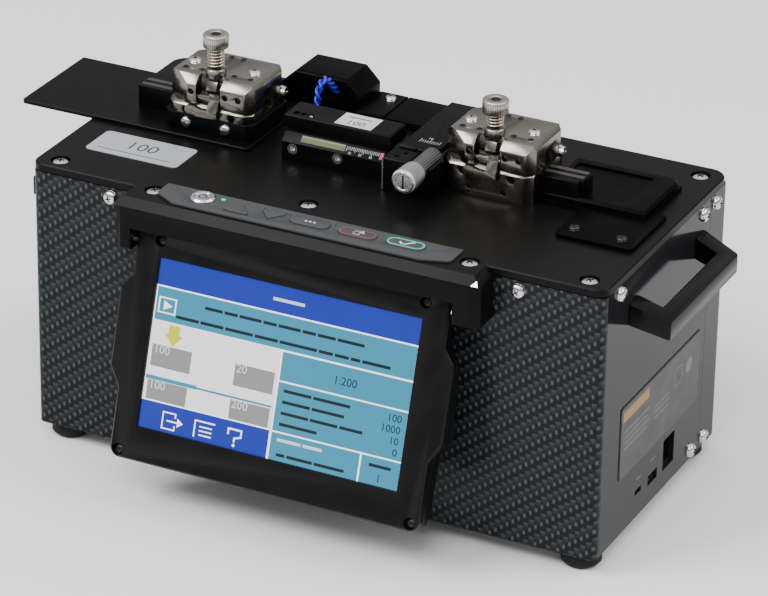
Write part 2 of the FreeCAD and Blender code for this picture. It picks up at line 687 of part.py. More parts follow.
def knob(x, z0, reach):
    """Knurled head with a hexagon socket on a plain stem."""
    r = KNOB_D / 2
    star = []
    for i in range(2 * KNURL_N):
        a = math.pi * i / KNURL_N
        rim = r - KNURL_D * (i % 2)
        star.append((x + rim * math.cos(a), KNOB_Y + rim * math.sin(a)))
    shoulder = z0 + KNOB_H - KNOB_CROWN
    inner = r - KNURL_D
    head = fuse([outline_xy(star, z0, shoulder),
                 cone(inner, inner - KNOB_CROWN, (x, KNOB_Y, shoulder), (x, KNOB_Y, z0 + KNOB_H))])
    head = head.cut(outline_xy(hexagon(x, KNOB_Y, 1.73), z0 + KNOB_H - 3.0, z0 + KNOB_H + 1))
    stem = rod(STEM_R, (x, KNOB_Y, z0 - reach), (x, KNOB_Y, z0))
    return head.fuse(stem).removeSplitter()


def channel(x, half, z0, z1):
    """Cutters for the fibre channel's wide mouths at both sides of a jaw."""
    return [box(min(x + s * (half + 1), x + s * (half - CHANNEL_IN)),
                max(x + s * (half + 1), x + s * (half - CHANNEL_IN)),
                FIBRE_Y - CHANNEL_W / 2, FIBRE_Y + CHANNEL_W / 2, z0, z1) for s in (-1, 1)]


heel_r = CLAMP_Y1 - PIVOT_Y
heel_floor = PIVOT_Z - heel_r - 0.35    # the lid's heel swings down to here


def clamp_block(x, z0):
    """Lower jaw: bevelled block, fibre channel, latch pocket and two hinge ears."""
    half = BLOCK_W / 2
    a, b = x - half, x + half
    body = box(a, b, CLAMP_Y0, CLAMP_Y1, z0, PART_Z)
    body = bevel(body, 3.0, lambda q: q.ZLength > 2 and q.XLength < 0.01 and q.YLength < 0.01)
    body = bevel(body, 1.4, lambda q: on_top(PART_Z)(q) and q.YMax < CLAMP_Y0 + 3.1)
    groove = prism([(a - 1, FIBRE_Y - 0.35, PART_Z + 0.01), (a - 1, FIBRE_Y + 0.35, PART_Z + 0.01),
                    (a - 1, FIBRE_Y, PART_Z - 0.35)], (BLOCK_W + 2, 0, 0))
    tools = [groove] + channel(x, half, PART_Z - CHANNEL_DOWN, PART_Z + 1)
    hole_z = PART_Z - 3.1
    for dx in (-9.9, 9.9):
        tools.append(faceted(1.6, (x + dx, CLAMP_Y0 - 1, hole_z), (x + dx, CLAMP_Y0 + 4.5, hole_z)))
    if PART_Z - z0 > 10:
        low_z = PART_Z - 9.0
        for dx in (-7.0, 7.0):
            tools.append(faceted(1.1, (x + dx, CLAMP_Y0 - 1, low_z), (x + dx, CLAMP_Y0 + 2.5, low_z)))
    tools.append(box(x + LATCH_X0 - 0.6, x + LATCH_X1 + 0.6, CLAMP_Y0 - 1, CLAMP_Y0 + 3.8,
                     PART_Z - 4.4, PART_Z + 1))
    tools.append(box(a - 1, b + 1, PIVOT_Y - 1.4, CLAMP_Y1 + 1, max(z0, heel_floor) - 1e-3, PART_Z + 1))
    body = cut(body, tools)
    for s in (-1, 1):
        p, q = sorted((x + s * half, x + s * (half - EAR_T)))
        neck = box(p, q, PIVOT_Y - EAR_R, PIVOT_Y + EAR_R, z0, PIVOT_Z)
        body = fuse([body, neck, rod(EAR_R, (p, PIVOT_Y, PIVOT_Z), (q, PIVOT_Y, PIVOT_Z))])
    return body.cut(rod(PIVOT_R, (a - 1, PIVOT_Y, PIVOT_Z), (b + 1, PIVOT_Y, PIVOT_Z)))


def clamp_lid(x):
    """Upper jaw: faceted lid with the spring boss, the latch notch and the rolled heel."""
    half = LID_W / 2
    a, b = x - half, x + half
    y0, y1 = CLAMP_Y0, CLAMP_Y1
    z0, z1 = PART_Z + SEAT, PART_Z + LID_H
    plan = [(a, y0 + 6.0), (a + 9.6, y0), (b - 3.0, y0), (b, y0 + 3.0), (b, y1 - 5.5),
            (b - 5.5, y1), (a + 5.5, y1), (a, y1 - 5.5)]
    body = outline_xy(plan, z0, z1)
    body = bevel(body, 3.0, lambda q: on_top(z1)(q) and q.YMax < y0 + 0.01)
    body = bevel(body, 1.6, lambda q: on_top(z1)(q) and q.XMax < a + 9.7 and q.YLength > 4)
    body = bevel(body, 1.5, lambda q: on_top(z1)(q) and q.XMin > b - 3.2 and q.YLength > 8)
    back = BACK_ROUND
    keep = fuse([box(a - 1, b + 1, y0 - 1, y1 - back, z0 - 1, z1 + 1),
                 box(a - 1, b + 1, y0 - 1, y1, z0 - 1, z1 - back),
                 rod(back, (a - 1, y1 - back, z1 - back), (b + 1, y1 - back, z1 - back))])
    body = body.common(keep)
    heel = box(a - 1, b + 1, PIVOT_Y, y1 + 1, z0 - 1, PIVOT_Z).cut(
        rod(heel_r, (a - 1, PIVOT_Y, PIVOT_Z), (b + 1, PIVOT_Y, PIVOT_Z)))
    boss = bevel(rod(BOSS_R, (x, KNOB_Y, z1 - 0.5), (x, KNOB_Y, z1 + BOSS_H)), 0.4, on_top(z1 + BOSS_H))
    tools = [heel, rod(PIVOT_R + RUN, (a - 1, PIVOT_Y, PIVOT_Z), (b + 1, PIVOT_Y, PIVOT_Z))]
    tools += channel(x, half, z0 - 1, PART_Z + CHANNEL_UP)
    tools.append(box(x - NOTCH_HALF, x + NOTCH_HALF, y0 - 1, NOTCH_BACK, z0 - 1, z1 + 1))
    for dx in (-14.0, -7.0, 7.0, 14.0):
        tools.append(faceted(1.15, (x + dx, 1.7, z1 - 3.0), (x + dx, 1.7, z1 + 1)))
    for dx in (-2.6, 2.6):
        tools.append(faceted(1.15, (x + dx, 17.6, z1 - 3.0), (x + dx, 17.6, z1 + 1)))
    for dx in (-7.4, 7.2, 12.8):
        tools.append(faceted(1.3, (x + dx, y0 - 1, PART_Z + 5.0), (x + dx, y0 + 2.5, PART_Z + 5.0)))
    for s in (-1, 1):
        p, q = sorted((x + s * (BLOCK_W / 2 - EAR_T - SIDE_GAP), x + s * (half + 1)))
        tools.append(box(p, q, PIVOT_Y - EAR_R - SIDE_GAP, y1 + 1, z0 - 1, PIVOT_Z + EAR_R + SIDE_GAP))
    striker = prism([(x - 1.4, NOTCH_BACK + 0.2, PART_Z + 6.2), (x - 1.4, y0 + 1.2, PART_Z + 6.2),
                     (x - 1.4, y0 + 2.6, z1 - 1.4), (x - 1.4, NOTCH_BACK + 0.2, z1 - 1.4)], (4.2, 0, 0))
    body = fuse([cut(body, tools), boss, striker])
    trunnion = NOTCH_HALF + 2.0
    return cut(body, [
        rod(STEM_R + RUN, (x, KNOB_Y, z1 - 6.4), (x, KNOB_Y, z1 + BOSS_H + 1)),
        rod(LATCH_PIN_R + RUN, (x - trunnion - SEAT, LATCH_PIN_Y, LATCH_PIN_Z),
            (x + trunnion + SEAT, LATCH_PIN_Y, LATCH_PIN_Z)),
    ])


def latch(x):
    """Front latch: trunnion bar, lever arm and a rounded thumb tab to the left."""
    y_tab = CLAMP_Y0 - 2.2
    z_low, z_top = PART_Z - 4.1, PART_Z - 0.2
    tab = prism([(x - 9.0, y_tab, z_low + 0.6), (x - 4.4, y_tab, z_low), (x + LATCH_X1, y_tab, z_low + 0.4),
                 (x + LATCH_X1, y_tab, z_top - 0.7), (x - 2.2, y_tab, z_top - 0.7), (x - 5.0, y_tab, z_top),
                 (x - 9.0, y_tab, z_top)], (0, 1.8, 0))
    tab = rounding(tab, 1.2, lambda b: b.YLength > 1.5 and b.XLength < 0.01 and b.XMax < x - 4.0)
    z_pin = LATCH_PIN_Z
    web = prism([(x + LATCH_X0, y_tab, PART_Z - 3.6), (x + LATCH_X0, y_tab, PART_Z - 0.9),
                 (x + LATCH_X0, LATCH_PIN_Y - 1.5, z_pin), (x + LATCH_X0, LATCH_PIN_Y - 1.1, z_pin + 2.4),
                 (x + LATCH_X0, LATCH_PIN_Y + 0.6, z_pin + 2.4), (x + LATCH_X0, LATCH_PIN_Y + 1.4, z_pin),
                 (x + LATCH_X0, LATCH_PIN_Y + 1.0, PART_Z - 0.4), (x + LATCH_X0, LATCH_PIN_Y, PART_Z - 3.0),
                 (x + LATCH_X0, LATCH_PIN_Y - 1.2, PART_Z - 3.6)], (LATCH_X1 - LATCH_X0, 0, 0))
    reach = NOTCH_HALF + 2.0
    bar = rod(LATCH_PIN_R, (x - reach, LATCH_PIN_Y, z_pin), (x + reach, LATCH_PIN_Y, z_pin))
    roller = rod(LATCH_PIN_R + 0.55, (x - 3.8, LATCH_PIN_Y, z_pin), (x + LATCH_X1, LATCH_PIN_Y, z_pin))
    return fuse([tab, web, bar, roller])


lid_screw = screw(LID_HEAD_D, SMALL_H)
lid_top = PART_Z + LID_H
left_base_top = DECK + EXT_T + LEFT_BASE_H
hinge_pins = []
for side, x, z0, gap in (("left", CLAMP_LX, left_base_top, SPRING_L),
                         ("right", CLAMP_RX, DECK, SPRING_R_LEN)):
    save(side + "_clamp_block", clamp_block(x, z0))
    save(side + "_clamp_lid", clamp_lid(x))
    save(side + "_latch", latch(x))
    seat = lid_top + BOSS_H
    save(side + "_knob", knob(x, seat + gap, gap + BOSS_H + 5.0))
    save(side + "_knob_spring", spring(x, KNOB_Y, seat, seat + gap))
    save(side + "_lid_screws", *[place(lid_screw, (x + dx, FIBRE_Y, lid_top), (0, 0, 1), 30 + dx)
                                 for dx in LID_SCREW_DX])
    end = x + BLOCK_W / 2
    pin = rod(PIVOT_R, (x - BLOCK_W / 2, PIVOT_Y, PIVOT_Z), (end, PIVOT_Y, PIVOT_Z))
    head = faceted(2.3, (end, PIVOT_Y, PIVOT_Z), (end + 2.2, PIVOT_Y, PIVOT_Z), 16, 1.9)
    driver = box(end + 1.5, end + 3, PIVOT_Y - 3, PIVOT_Y + 3, PIVOT_Z - 0.35, PIVOT_Z + 0.35)
    hinge_pins.append(fuse([pin, head]).cut(driver))
save("clamp_hinge_pins", *hinge_pins)

# ---------------------------------------------------------------- left stage
ext = rounded(EXT_X0, EXT_X1, EXT_Y0, EXT_Y1, DECK, DECK + EXT_T, 2.0, "abc")
save("extension_plate", bevel(ext, 0.3, on_top(DECK + EXT_T)))
base_y0 = CLAMP_Y0 - 0.6
base = box(CLAMP_LX - BASE_W / 2, CLAMP_LX + BASE_W / 2, base_y0, CLAMP_Y1 + 0.6, DECK + EXT_T, left_base_top)
base = bevel(base, 2.5, lambda b: b.ZLength > 5 and b.XLength < 0.01 and b.YLength < 0.01)
base_screw_z = DECK + EXT_T + 3.1
base_screw_at = [CLAMP_LX - 9.2, CLAMP_LX + 7.6]
save("left_clamp_base", base)


def fibre_guide(x0, x1, z0):
    """Low rail with a fine vee for the fibre."""
    body = box(x0, x1, FIBRE_Y - GUIDE_W / 2, FIBRE_Y + GUIDE_W / 2, z0, GUIDE_TOP)
    body = bevel(body, 0.5, on_top(GUIDE_TOP))
    vee = prism([(x0 - 1, FIBRE_Y - 0.6, GUIDE_TOP + 0.01), (x0 - 1, FIBRE_Y + 0.6, GUIDE_TOP + 0.01),
                 (x0 - 1, FIBRE_Y, GUIDE_TOP - 0.6)], (x1 - x0 + 2, 0, 0))
    return body.cut(vee)


save("left_fibre_guide", fibre_guide(CLAMP_LX - BASE_W / 2 - GUIDE_L, CLAMP_LX - BASE_W / 2, DECK + EXT_T))

# ---------------------------------------------------------------- right stage
cover_plan = [(COVER_X0, COVER_Y0), (COVER_STEP_X, COVER_Y0), (COVER_STEP_X, LUG_Y0), (LUG_X1, LUG_Y0),
              (LUG_X1, LUG_Y1), (COVER_X1, LUG_Y1), (COVER_X1, COVER_Y1), (COVER_X0, COVER_Y1)]
flange = outline_xy(cover_plan, DECK, DECK + LUG_T)
flange = rounding(flange, 2.0, lambda b: b.ZLength > 1 and b.XMin > COVER_STEP_X - 0.1 and b.YMax < LUG_Y0 + 0.1)
hump = rounded(COVER_X0, COVER_X1 - 0.3, COVER_Y0 + 1.5, COVER_Y1, DECK, COVER_TOP, 4.5, "c")
hump = bevel(hump, 1.0, on_top(COVER_TOP))
tray = box(COVER_X0 + 3.0, 99.0, COVER_Y0 + 4.5, COVER_Y1 - 4.5, COVER_TOP - 0.8, COVER_TOP + 1)
cover_screws_at = [(88.0, -18.0), (107.0, -18.5)]
cover = fuse([flange, hump]).cut(tray)
save("moulded_cover", cover)

guide_x0 = CLAMP_RX + BLOCK_W / 2
front_y = FIBRE_Y - GUIDE_W / 2
right_guide = fibre_guide(guide_x0, GUIDE_X1, DECK)
holder = bevel(box(guide_x0, GUIDE_X1 - 1.5, front_y - 2.5, front_y + 0.5, DECK, GUIDE_TOP - 0.3), 0.4,
               lambda b: on_top(GUIDE_TOP - 0.3)(b) and b.YMax < front_y - 2.4)
right_guide = fuse([right_guide, holder])
right_guide = right_guide.cut(cover)
save("right_fibre_guide", right_guide)

# ---------------------------------------------------------------- centre stage
rail_top = DECK + RAIL_H
rail = box(RAIL_X0, RAIL_X1, RAIL_Y0, RAIL_Y1, DECK, rail_top)
rail = bevel(rail, RAIL_BEVEL, lambda b: on_top(rail_top)(b) and b.YMax < RAIL_Y0 + 0.01)
keyway = box(RAIL_X0 - 1, RAIL_X1 + 1, KEEL_Y - KEEL_HALF - RUN, KEEL_Y + KEEL_HALF + RUN,
             rail_top - KEEL_H - SIDE_GAP, rail_top + 1)
rail_screw_at = [-31.3, -12.4]
rail_screw_z = DECK + 5.3
seat_y = RAIL_Y0 + SOCKET_H
rail_cuts = [keyway]
for x in rail_screw_at:
    rail_cuts.append(faceted(SMALL_D / 2, (x, RAIL_Y0 - 1, rail_screw_z), (x, seat_y, rail_screw_z)))
save("ruler_rail", cut(rail, rail_cuts))

socket = faceted(SMALL_D / 2 - RUN, (0, 0, 0), (0, 0, SOCKET_H + 0.3))
socket = socket.cut(outline_xy(hexagon(0, 0, 1.15), SOCKET_H - 1.2, SOCKET_H + 1))
save("rail_screws", *[place(socket, (x, seat_y, rail_screw_z), (0, -1, 0)) for x in rail_screw_at])

bar_z = rail_top + SEAT
bar_top = bar_z + BAR_H
bar = bevel(box(BAR_X0, BAR_X1, BAR_Y0, BAR_Y1, bar_z, bar_top), 0.6, on_top(bar_top))
keel = box(BAR_X0, BAR_X1, KEEL_Y - KEEL_HALF, KEEL_Y + KEEL_HALF, bar_z - KEEL_H, bar_z + 0.5)
bar_cuts = [box(BAR_X0 + 3.0 + 3.0 * i, BAR_X0 + 5.2 + 3.0 * i, -4.4, -2.0, bar_top - 1.2, bar_top + 1)
            for i in range(3)]
bar_cuts.append(box(-17.6, -1.8, -5.0, 6.2, bar_top - 0.2, bar_top + 1))
save("stop_bar", cut(bar.fuse(keel).removeSplitter(), bar_cuts))

# blade unit cover with its sloping flanks
blade_top = DECK + BLADE_H
plan = [(BLADE_X0, BLADE_Y0, DECK), (BLADE_X1, BLADE_Y0, DECK), (BLADE_X1, BLADE_Y0, DECK + 7.5),
        (BLADE_X1 - 6.0, BLADE_Y0, blade_top), (BLADE_X0 + 6.6, BLADE_Y0, blade_top),
        (BLADE_X0, BLADE_Y0, DECK + 7.5)]
blade_cover = prism(plan, (0, BLADE_Y1 - BLADE_Y0, 0))
blade_cover = bevel(blade_cover, 1.0, lambda b: on_top(blade_top)(b) and b.YMax < BLADE_Y0 + 0.01)

# signal wires: a pair that rises from the deck, bends over and enters the blade unit's cover
def wire(x):
    """One strand: straight up, a bend towards the cover, then straight down into it."""
    bend_y, bend_z = WIRE_Y + WIRE_BEND, DECK + WIRE_RISE
    lean = math.radians(WIRE_LEAN)
    foot, rise = V(x, WIRE_Y, DECK - WIRE_IN), V(x, WIRE_Y, bend_z)
    crown = V(x, bend_y - WIRE_BEND * math.sin(lean / 2), bend_z + WIRE_BEND * math.cos(lean / 2))
    fall = V(x, bend_y + WIRE_BEND * math.sin(lean), bend_z + WIRE_BEND * math.cos(lean))
    run = BLADE_Y0 + WIRE_IN - fall.y
    end = fall + V(0, run, -run * math.tan(lean))
    path = Part.Wire([Part.makeLine(foot, rise), Part.Arc(rise, crown, fall).toShape(),
                      Part.makeLine(fall, end)])
    hexagon_at = [foot + V(*xy, 0) for xy in hexagon(0, 0, WIRE_R)]
    section = Part.makePolygon(hexagon_at + hexagon_at[:1])
    return path.makePipeShell([section], True, True), end


left_strand, wire_to = wire(WIRE_X - WIRE_R - WIRE_APART / 2)
right_strand = wire(WIRE_X + WIRE_R + WIRE_APART / 2)[0]
save("blue_wires", left_strand, right_strand)
entry = box(WIRE_X - 2.4, WIRE_X + 2.4, BLADE_Y0 - 1, BLADE_Y0 + 3.0, wire_to.z - 2.4, wire_to.z + 3.0)
save("blade_cover", blade_cover.cut(entry))

# flat cover beside it, with a dividing groove
flat_top = DECK + FLAT_H
flat = bevel(box(BLADE_X1, ARM_X0 - 0.5, FLAT_Y0, BLADE_Y1, DECK, flat_top), 0.5, on_top(flat_top))
flat_screw = (-21.3, 51.6)
save("flat_cover", flat.cut(box(FLAT_SPLIT, FLAT_SPLIT + 0.6, FLAT_Y0 - 1, BLADE_Y1 + 1, flat_top - 1.5, flat_top + 1)))

small = screw(SMALL_D, SMALL_H)
smalls = [place(small, (x, y, DECK + LUG_T), (0, 0, 1), 20) for x, y in cover_screws_at]
smalls += [place(small, (x, base_y0, base_screw_z), (0, -1, 0), 30) for x in base_screw_at]
smalls.append(place(small, (flat_screw[0], flat_screw[1], flat_top), (0, 0, 1), 10))
smalls.append(place(small, (DECK_SCREW_X, DECK_SCREW_Y, DECK), (0, 0, 1), 35))
save("stage_screws", *smalls)

# ---------------------------------------------------------------- micrometer and its bracket
arm = bevel(box(ARM_X0, ARM_X1, YOKE_Y1, ARM_Y1, DECK, DECK + ARM_H), 0.6, on_top(DECK + ARM_H))
trough = MIC_Z - BARREL_R - SIDE_GAP
yoke = fuse([box(YOKE_X0, YOKE_X1, YOKE_Y0, YOKE_Y1, DECK, trough),
             box(YOKE_X0, MIC_X - BARREL_R - SIDE_GAP, YOKE_Y0, YOKE_Y1, DECK, DECK + YOKE_H),
             box(YOKE_X1 - YOKE_WALL + 1.2, YOKE_X1, YOKE_Y0, YOKE_Y1, DECK, MIC_Z + 1.0)])
yoke = bevel(yoke, 0.5, lambda b: on_top(DECK + YOKE_H)(b))
joined = fuse([arm, yoke, box(YOKE_X0, ARM_X0 + 1, YOKE_Y1 - 1, 0.0, DECK, DECK + YOKE_H)])
mic_cuts = [rod(BARREL_R, (MIC_X, YOKE_Y1 - 1, MIC_Z), (MIC_X, BARREL_Y1, MIC_Z)),
            rod(STEM_MIC_R, (MIC_X, BARREL_Y1 - 1, MIC_Z), (MIC_X, SEAT_Y, MIC_Z)),
            rod(SPINDLE_R + 0.4, (MIC_X, 0, MIC_Z), (MIC_X, SPINDLE_END, MIC_Z)),
            box(ARM_X0 - 1, ARM_X1 + 1, WINDOW_Y0, WINDOW_Y1, MIC_Z - STOP_R - SIDE_GAP, MIC_Z + STOP_R + 0.2)]
mic_cuts += [faceted(0.9, (14.0 + 2.2 * i, -15.0 + 3.6 * i, DECK + YOKE_H - 3.0),
                 (14.0 + 2.2 * i, -15.0 + 3.6 * i, DECK + ARM_H + 1)) for i in range(3)]
save("micrometer_bracket", cut(joined, mic_cuts))

barrel = fuse([rod(BARREL_R, (MIC_X, BARREL_Y0, MIC_Z), (MIC_X, BARREL_Y1, MIC_Z)),
               rod(STEM_MIC_R, (MIC_X, BARREL_Y1, MIC_Z), (MIC_X, SEAT_Y, MIC_Z))])
barrel = barrel.cut(rod(SPINDLE_R + RUN, (MIC_X, BARREL_Y0 - 1, MIC_Z), (MIC_X, SEAT_Y + 1, MIC_Z)))
save("micrometer_barrel", barrel)

thimble = rod(THIMBLE_R, (MIC_X, THIMBLE_Y0, MIC_Z), (MIC_X, THIMBLE_Y1, MIC_Z))
thimble = bevel(thimble, 0.6, lambda b: b.YMax < THIMBLE_Y0 + 0.01)
thimble = bevel(thimble, 0.5, lambda b: b.YMin > THIMBLE_Y1 - 0.01)
save("micrometer_thimble", cut(thimble, [
    rod(BARREL_R + RUN, (MIC_X, THIMBLE_Y0 + THIMBLE_WALL, MIC_Z), (MIC_X, THIMBLE_Y1 + 1, MIC_Z)),
    box(MIC_X - 3.2, MIC_X + 3.2, THIMBLE_Y0 - 1, THIMBLE_Y0 + 0.8, MIC_Z - 0.4, MIC_Z + 0.4)]))

tail = THIMBLE_Y0 + THIMBLE_WALL + SPINDLE_TRAVEL + SIDE_GAP
save("backstop_spindle", fuse([rod(SPINDLE_R, (MIC_X, tail, MIC_Z), (MIC_X, SPINDLE_END, MIC_Z)),
                               rod(STOP_R, (MIC_X, SPINDLE_END, MIC_Z), (MIC_X, SPINDLE_END + STOP_T, MIC_Z))]))
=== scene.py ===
import json
import math
import bmesh
import bpy
from mathutils import Matrix, Vector


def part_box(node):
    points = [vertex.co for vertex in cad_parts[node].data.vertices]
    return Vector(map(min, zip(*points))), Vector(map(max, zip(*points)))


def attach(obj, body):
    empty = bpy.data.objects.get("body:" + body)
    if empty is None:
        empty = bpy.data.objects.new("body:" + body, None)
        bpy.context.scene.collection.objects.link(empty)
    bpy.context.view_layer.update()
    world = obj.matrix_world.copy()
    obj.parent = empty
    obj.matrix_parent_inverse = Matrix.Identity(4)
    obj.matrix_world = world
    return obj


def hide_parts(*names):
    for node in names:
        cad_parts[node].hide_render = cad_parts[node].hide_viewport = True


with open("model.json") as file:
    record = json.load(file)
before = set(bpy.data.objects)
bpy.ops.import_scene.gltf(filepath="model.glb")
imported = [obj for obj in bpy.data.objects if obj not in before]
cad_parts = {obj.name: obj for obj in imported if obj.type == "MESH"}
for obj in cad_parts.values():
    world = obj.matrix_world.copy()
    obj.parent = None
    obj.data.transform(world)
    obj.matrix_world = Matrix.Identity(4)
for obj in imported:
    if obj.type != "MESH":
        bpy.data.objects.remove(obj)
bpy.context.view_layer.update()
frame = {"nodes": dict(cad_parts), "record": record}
record = frame["record"]
slot_of = {p["node"]: p["material_slot"] for p in record["subparts"]}
body_of = {n: b for b, nodes in record["behaviour"]["bodies"].items() for n in nodes}
MM = 0.001

core_lo, core_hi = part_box("chassis_core")
MIDDLE = Vector(((core_lo.x + core_hi.x) / 2, (core_lo.y + core_hi.y) / 2, 0))
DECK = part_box("deck_plate")[1].z / MM
ALONG, ACROSS, UP = (1, 0, 0), (0, 1, 0), (0, 0, 1)


def at(x, y, z):
    """Millimetres about the body's centre line, as a point of the row frame."""
    return MIDDLE + Vector((x, y, z)) * MM


def about(node):
    """A node's low and high corners, in millimetres about the body's centre line."""
    return [((a.x - MIDDLE.x) / MM, (a.y - MIDDLE.y) / MM, a.z / MM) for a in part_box(node)]


# ---------------------------------------------------------------- materials
NOISE_LOW, NOISE_HIGH = 0.25, 0.75      # most values of a noise texture lie between these
GRAIN_DEPTH = 0.00005                   # metres, as is the next
FLUTE_DEPTH = 0.0002
COAT_ROUGH = 0.12
GLOSS_SPREAD = 0.25                     # share by which the roughness wanders
DRIFT_SHARE, GRAIN_SHARE = 0.6, 0.4     # what the slow and the fine noise give to the gloss


def tree_of(name):
    """A new material, its node tree and its shader."""
    m = bpy.data.materials.new(name)
    m.use_nodes = True
    return m, m.node_tree, m.node_tree.nodes["Principled BSDF"]


def place_in(t):
    """The object coordinates."""
    return t.nodes.new("ShaderNodeTexCoord").outputs["Object"]


def math_node(t, op, a, b=None):
    n = t.nodes.new("ShaderNodeMath")
    n.operation = op
    for i, v in enumerate((a, b)):
        if v is None:
            continue
        if isinstance(v, (int, float)):
            n.inputs[i].default_value = v
        else:
            t.links.new(v, n.inputs[i])
    return n.outputs[0]


def remap(t, value, low, high, a=0.0, b=1.0):
    """Value from the span a to b onto the span low to high."""
    n = t.nodes.new("ShaderNodeMapRange")
    t.links.new(value, n.inputs["Value"])
    for k, v in (("From Min", a), ("From Max", b), ("To Min", low), ("To Max", high)):
        n.inputs[k].default_value = v
    return n.outputs[0]


def mix(t, fac, a, b):
    n = t.nodes.new("ShaderNodeMix")
    n.data_type = "RGBA"
    if isinstance(fac, (int, float)):
        n.inputs["Factor"].default_value = fac
    else:
        t.links.new(fac, n.inputs["Factor"])
    for key, v in (("A", a), ("B", b)):
        socket = [s for s in n.inputs if s.name == key and s.type == "RGBA"][0]
        if isinstance(v, tuple):
            socket.default_value = (*v, 1.0)
        else:
            t.links.new(v, socket)
    return [s for s in n.outputs if s.type == "RGBA"][0]


def noise(t, where, scale, detail=3.0, stretch=None):
    if stretch:
        mapping = t.nodes.new("ShaderNodeMapping")
        mapping.inputs["Scale"].default_value = stretch
        t.links.new(where, mapping.inputs["Vector"])
        where = mapping.outputs[0]
    n = t.nodes.new("ShaderNodeTexNoise")
    n.inputs["Scale"].default_value = scale
    n.inputs["Detail"].default_value = detail
    t.links.new(where, n.inputs["Vector"])
    return n.outputs["Fac"]


def bump(t, shader, height, strength, distance):
    n = t.nodes.new("ShaderNodeBump")
    n.inputs["Strength"].default_value = strength
    n.inputs["Distance"].default_value = distance
    t.links.new(height, n.inputs["Height"])
    t.links.new(n.outputs[0], shader.inputs["Normal"])


def scaled(c, k):
    return tuple(min(1.0, v * k) for v in c)


def surface(name, color, rough=0.4, metal=0.0, vary=0.08, scale=160.0, grain=0.1, grain_scale=2500.0,
            stretch=None, coat=0.0, spec=0.5, glow=0.0):
    """Principled finish with a drifting tone, an uneven gloss and a fine grain."""
    m, t, s = tree_of(name)
    where = place_in(t)
    drift = noise(t, where, scale)
    fine = noise(t, where, grain_scale, 2.0, stretch)
    tone = mix(t, drift, scaled(color, 1 - vary), scaled(color, 1 + vary))
    bright = mix(t, 0.5, tone, scaled(color, 1 + 2 * vary))
    tone = mix(t, remap(t, fine, 0.0, 0.35), tone, bright)
    t.links.new(tone, s.inputs["Base Color"])
    both = math_node(t, "ADD", math_node(t, "MULTIPLY", drift, DRIFT_SHARE),
                     math_node(t, "MULTIPLY", fine, GRAIN_SHARE))
    gloss = remap(t, both, rough * (1 - GLOSS_SPREAD), rough * (1 + GLOSS_SPREAD), NOISE_LOW, NOISE_HIGH)
    t.links.new(gloss, s.inputs["Roughness"])
    s.inputs["Metallic"].default_value = metal
    s.inputs["Coat Weight"].default_value = coat
    s.inputs["Coat Roughness"].default_value = COAT_ROUGH
    s.inputs["Specular IOR Level"].default_value = spec
    if grain:
        bump(t, s, fine, grain, GRAIN_DEPTH)
    if glow:
        t.links.new(tone, s.inputs["Emission Color"])
        s.inputs["Emission Strength"].default_value = glow
    return m


def ink(name, color, vary, rough=0.5, scale=500, **more):
    """Print or paper: matt, with next to no grain."""
    return surface(name, color, rough, vary=vary, scale=scale, grain=0.05, **more)


def weave(name):
    """Twill print of the front panel: wide patches and narrow bright ones climbing to the right."""
    column, rise = 2.3 * MM, 1.79 * MM
    repeat = 4 * rise
    past_x, past_z = 1.0, 4.0               # metres added so that no column or repeat counts below zero
    wide_half, small_half = 0.53, 0.27      # half widths, as shares of a column
    ground, patch, thread = (0.0030, 0.0050, 0.0068), (0.040, 0.045, 0.049), (0.066, 0.071, 0.073)
    m, t, s = tree_of(name)
    where = place_in(t)
    split = t.nodes.new("ShaderNodeSeparateXYZ")
    t.links.new(where, split.inputs[0])

    def lattice(shift, half_wide):
        """Millimetres below the nearest patch centre of a column, and a mask of the patch's width."""
        x = math_node(t, "DIVIDE", math_node(t, "ADD", split.outputs[0], past_x - shift), column)
        count = math_node(t, "FLOOR", x)
        across = math_node(t, "ABSOLUTE", math_node(t, "SUBTRACT", math_node(t, "FRACT", x), 0.5))
        height = math_node(t, "SUBTRACT", split.outputs[2], math_node(t, "MULTIPLY", count, rise))
        phase = math_node(t, "FRACT", math_node(t, "DIVIDE", math_node(t, "ADD", height, past_z), repeat))
        below = math_node(t, "MULTIPLY", math_node(t, "SUBTRACT", 0.5, phase), repeat / MM)
        return below, remap(t, across, 1.0, 0.0, half_wide * 0.55, half_wide * 1.08)

    fibres = noise(t, where, 1400.0, 2.0, (5.0, 1.0, 1.0))
    wide_below, wide_in = lattice(0.0, wide_half)
    top = remap(t, wide_below, 0.0, 1.0, -1.05, -0.6)
    fade = remap(t, wide_below, 1.0, 0.30, -0.7, 0.75)
    tail = remap(t, wide_below, 1.0, 0.0, 0.8, 2.4)
    wide = math_node(t, "MULTIPLY", math_node(t, "MULTIPLY", top, fade),
                     math_node(t, "MULTIPLY", tail, wide_in))
    small_below, small_in = lattice(3.9 * MM, small_half)
    ends = remap(t, math_node(t, "ABSOLUTE", small_below), 1.0, 0.0, 0.25, 1.25)
    small = math_node(t, "MULTIPLY", small_in, ends)
    uneven = remap(t, fibres, 0.45, 1.45, NOISE_LOW, NOISE_HIGH)
    tone = mix(t, math_node(t, "MULTIPLY", wide, uneven), ground, patch)
    tone = mix(t, math_node(t, "MULTIPLY", small, uneven), tone, thread)
    t.links.new(tone, s.inputs["Base Color"])
    t.links.new(remap(t, fibres, 0.30, 0.42), s.inputs["Roughness"])
    s.inputs["Specular IOR Level"].default_value = 0.1
    s.inputs["Coat Weight"].default_value = 0.1
    s.inputs["Coat Roughness"].default_value = 0.05
    return m


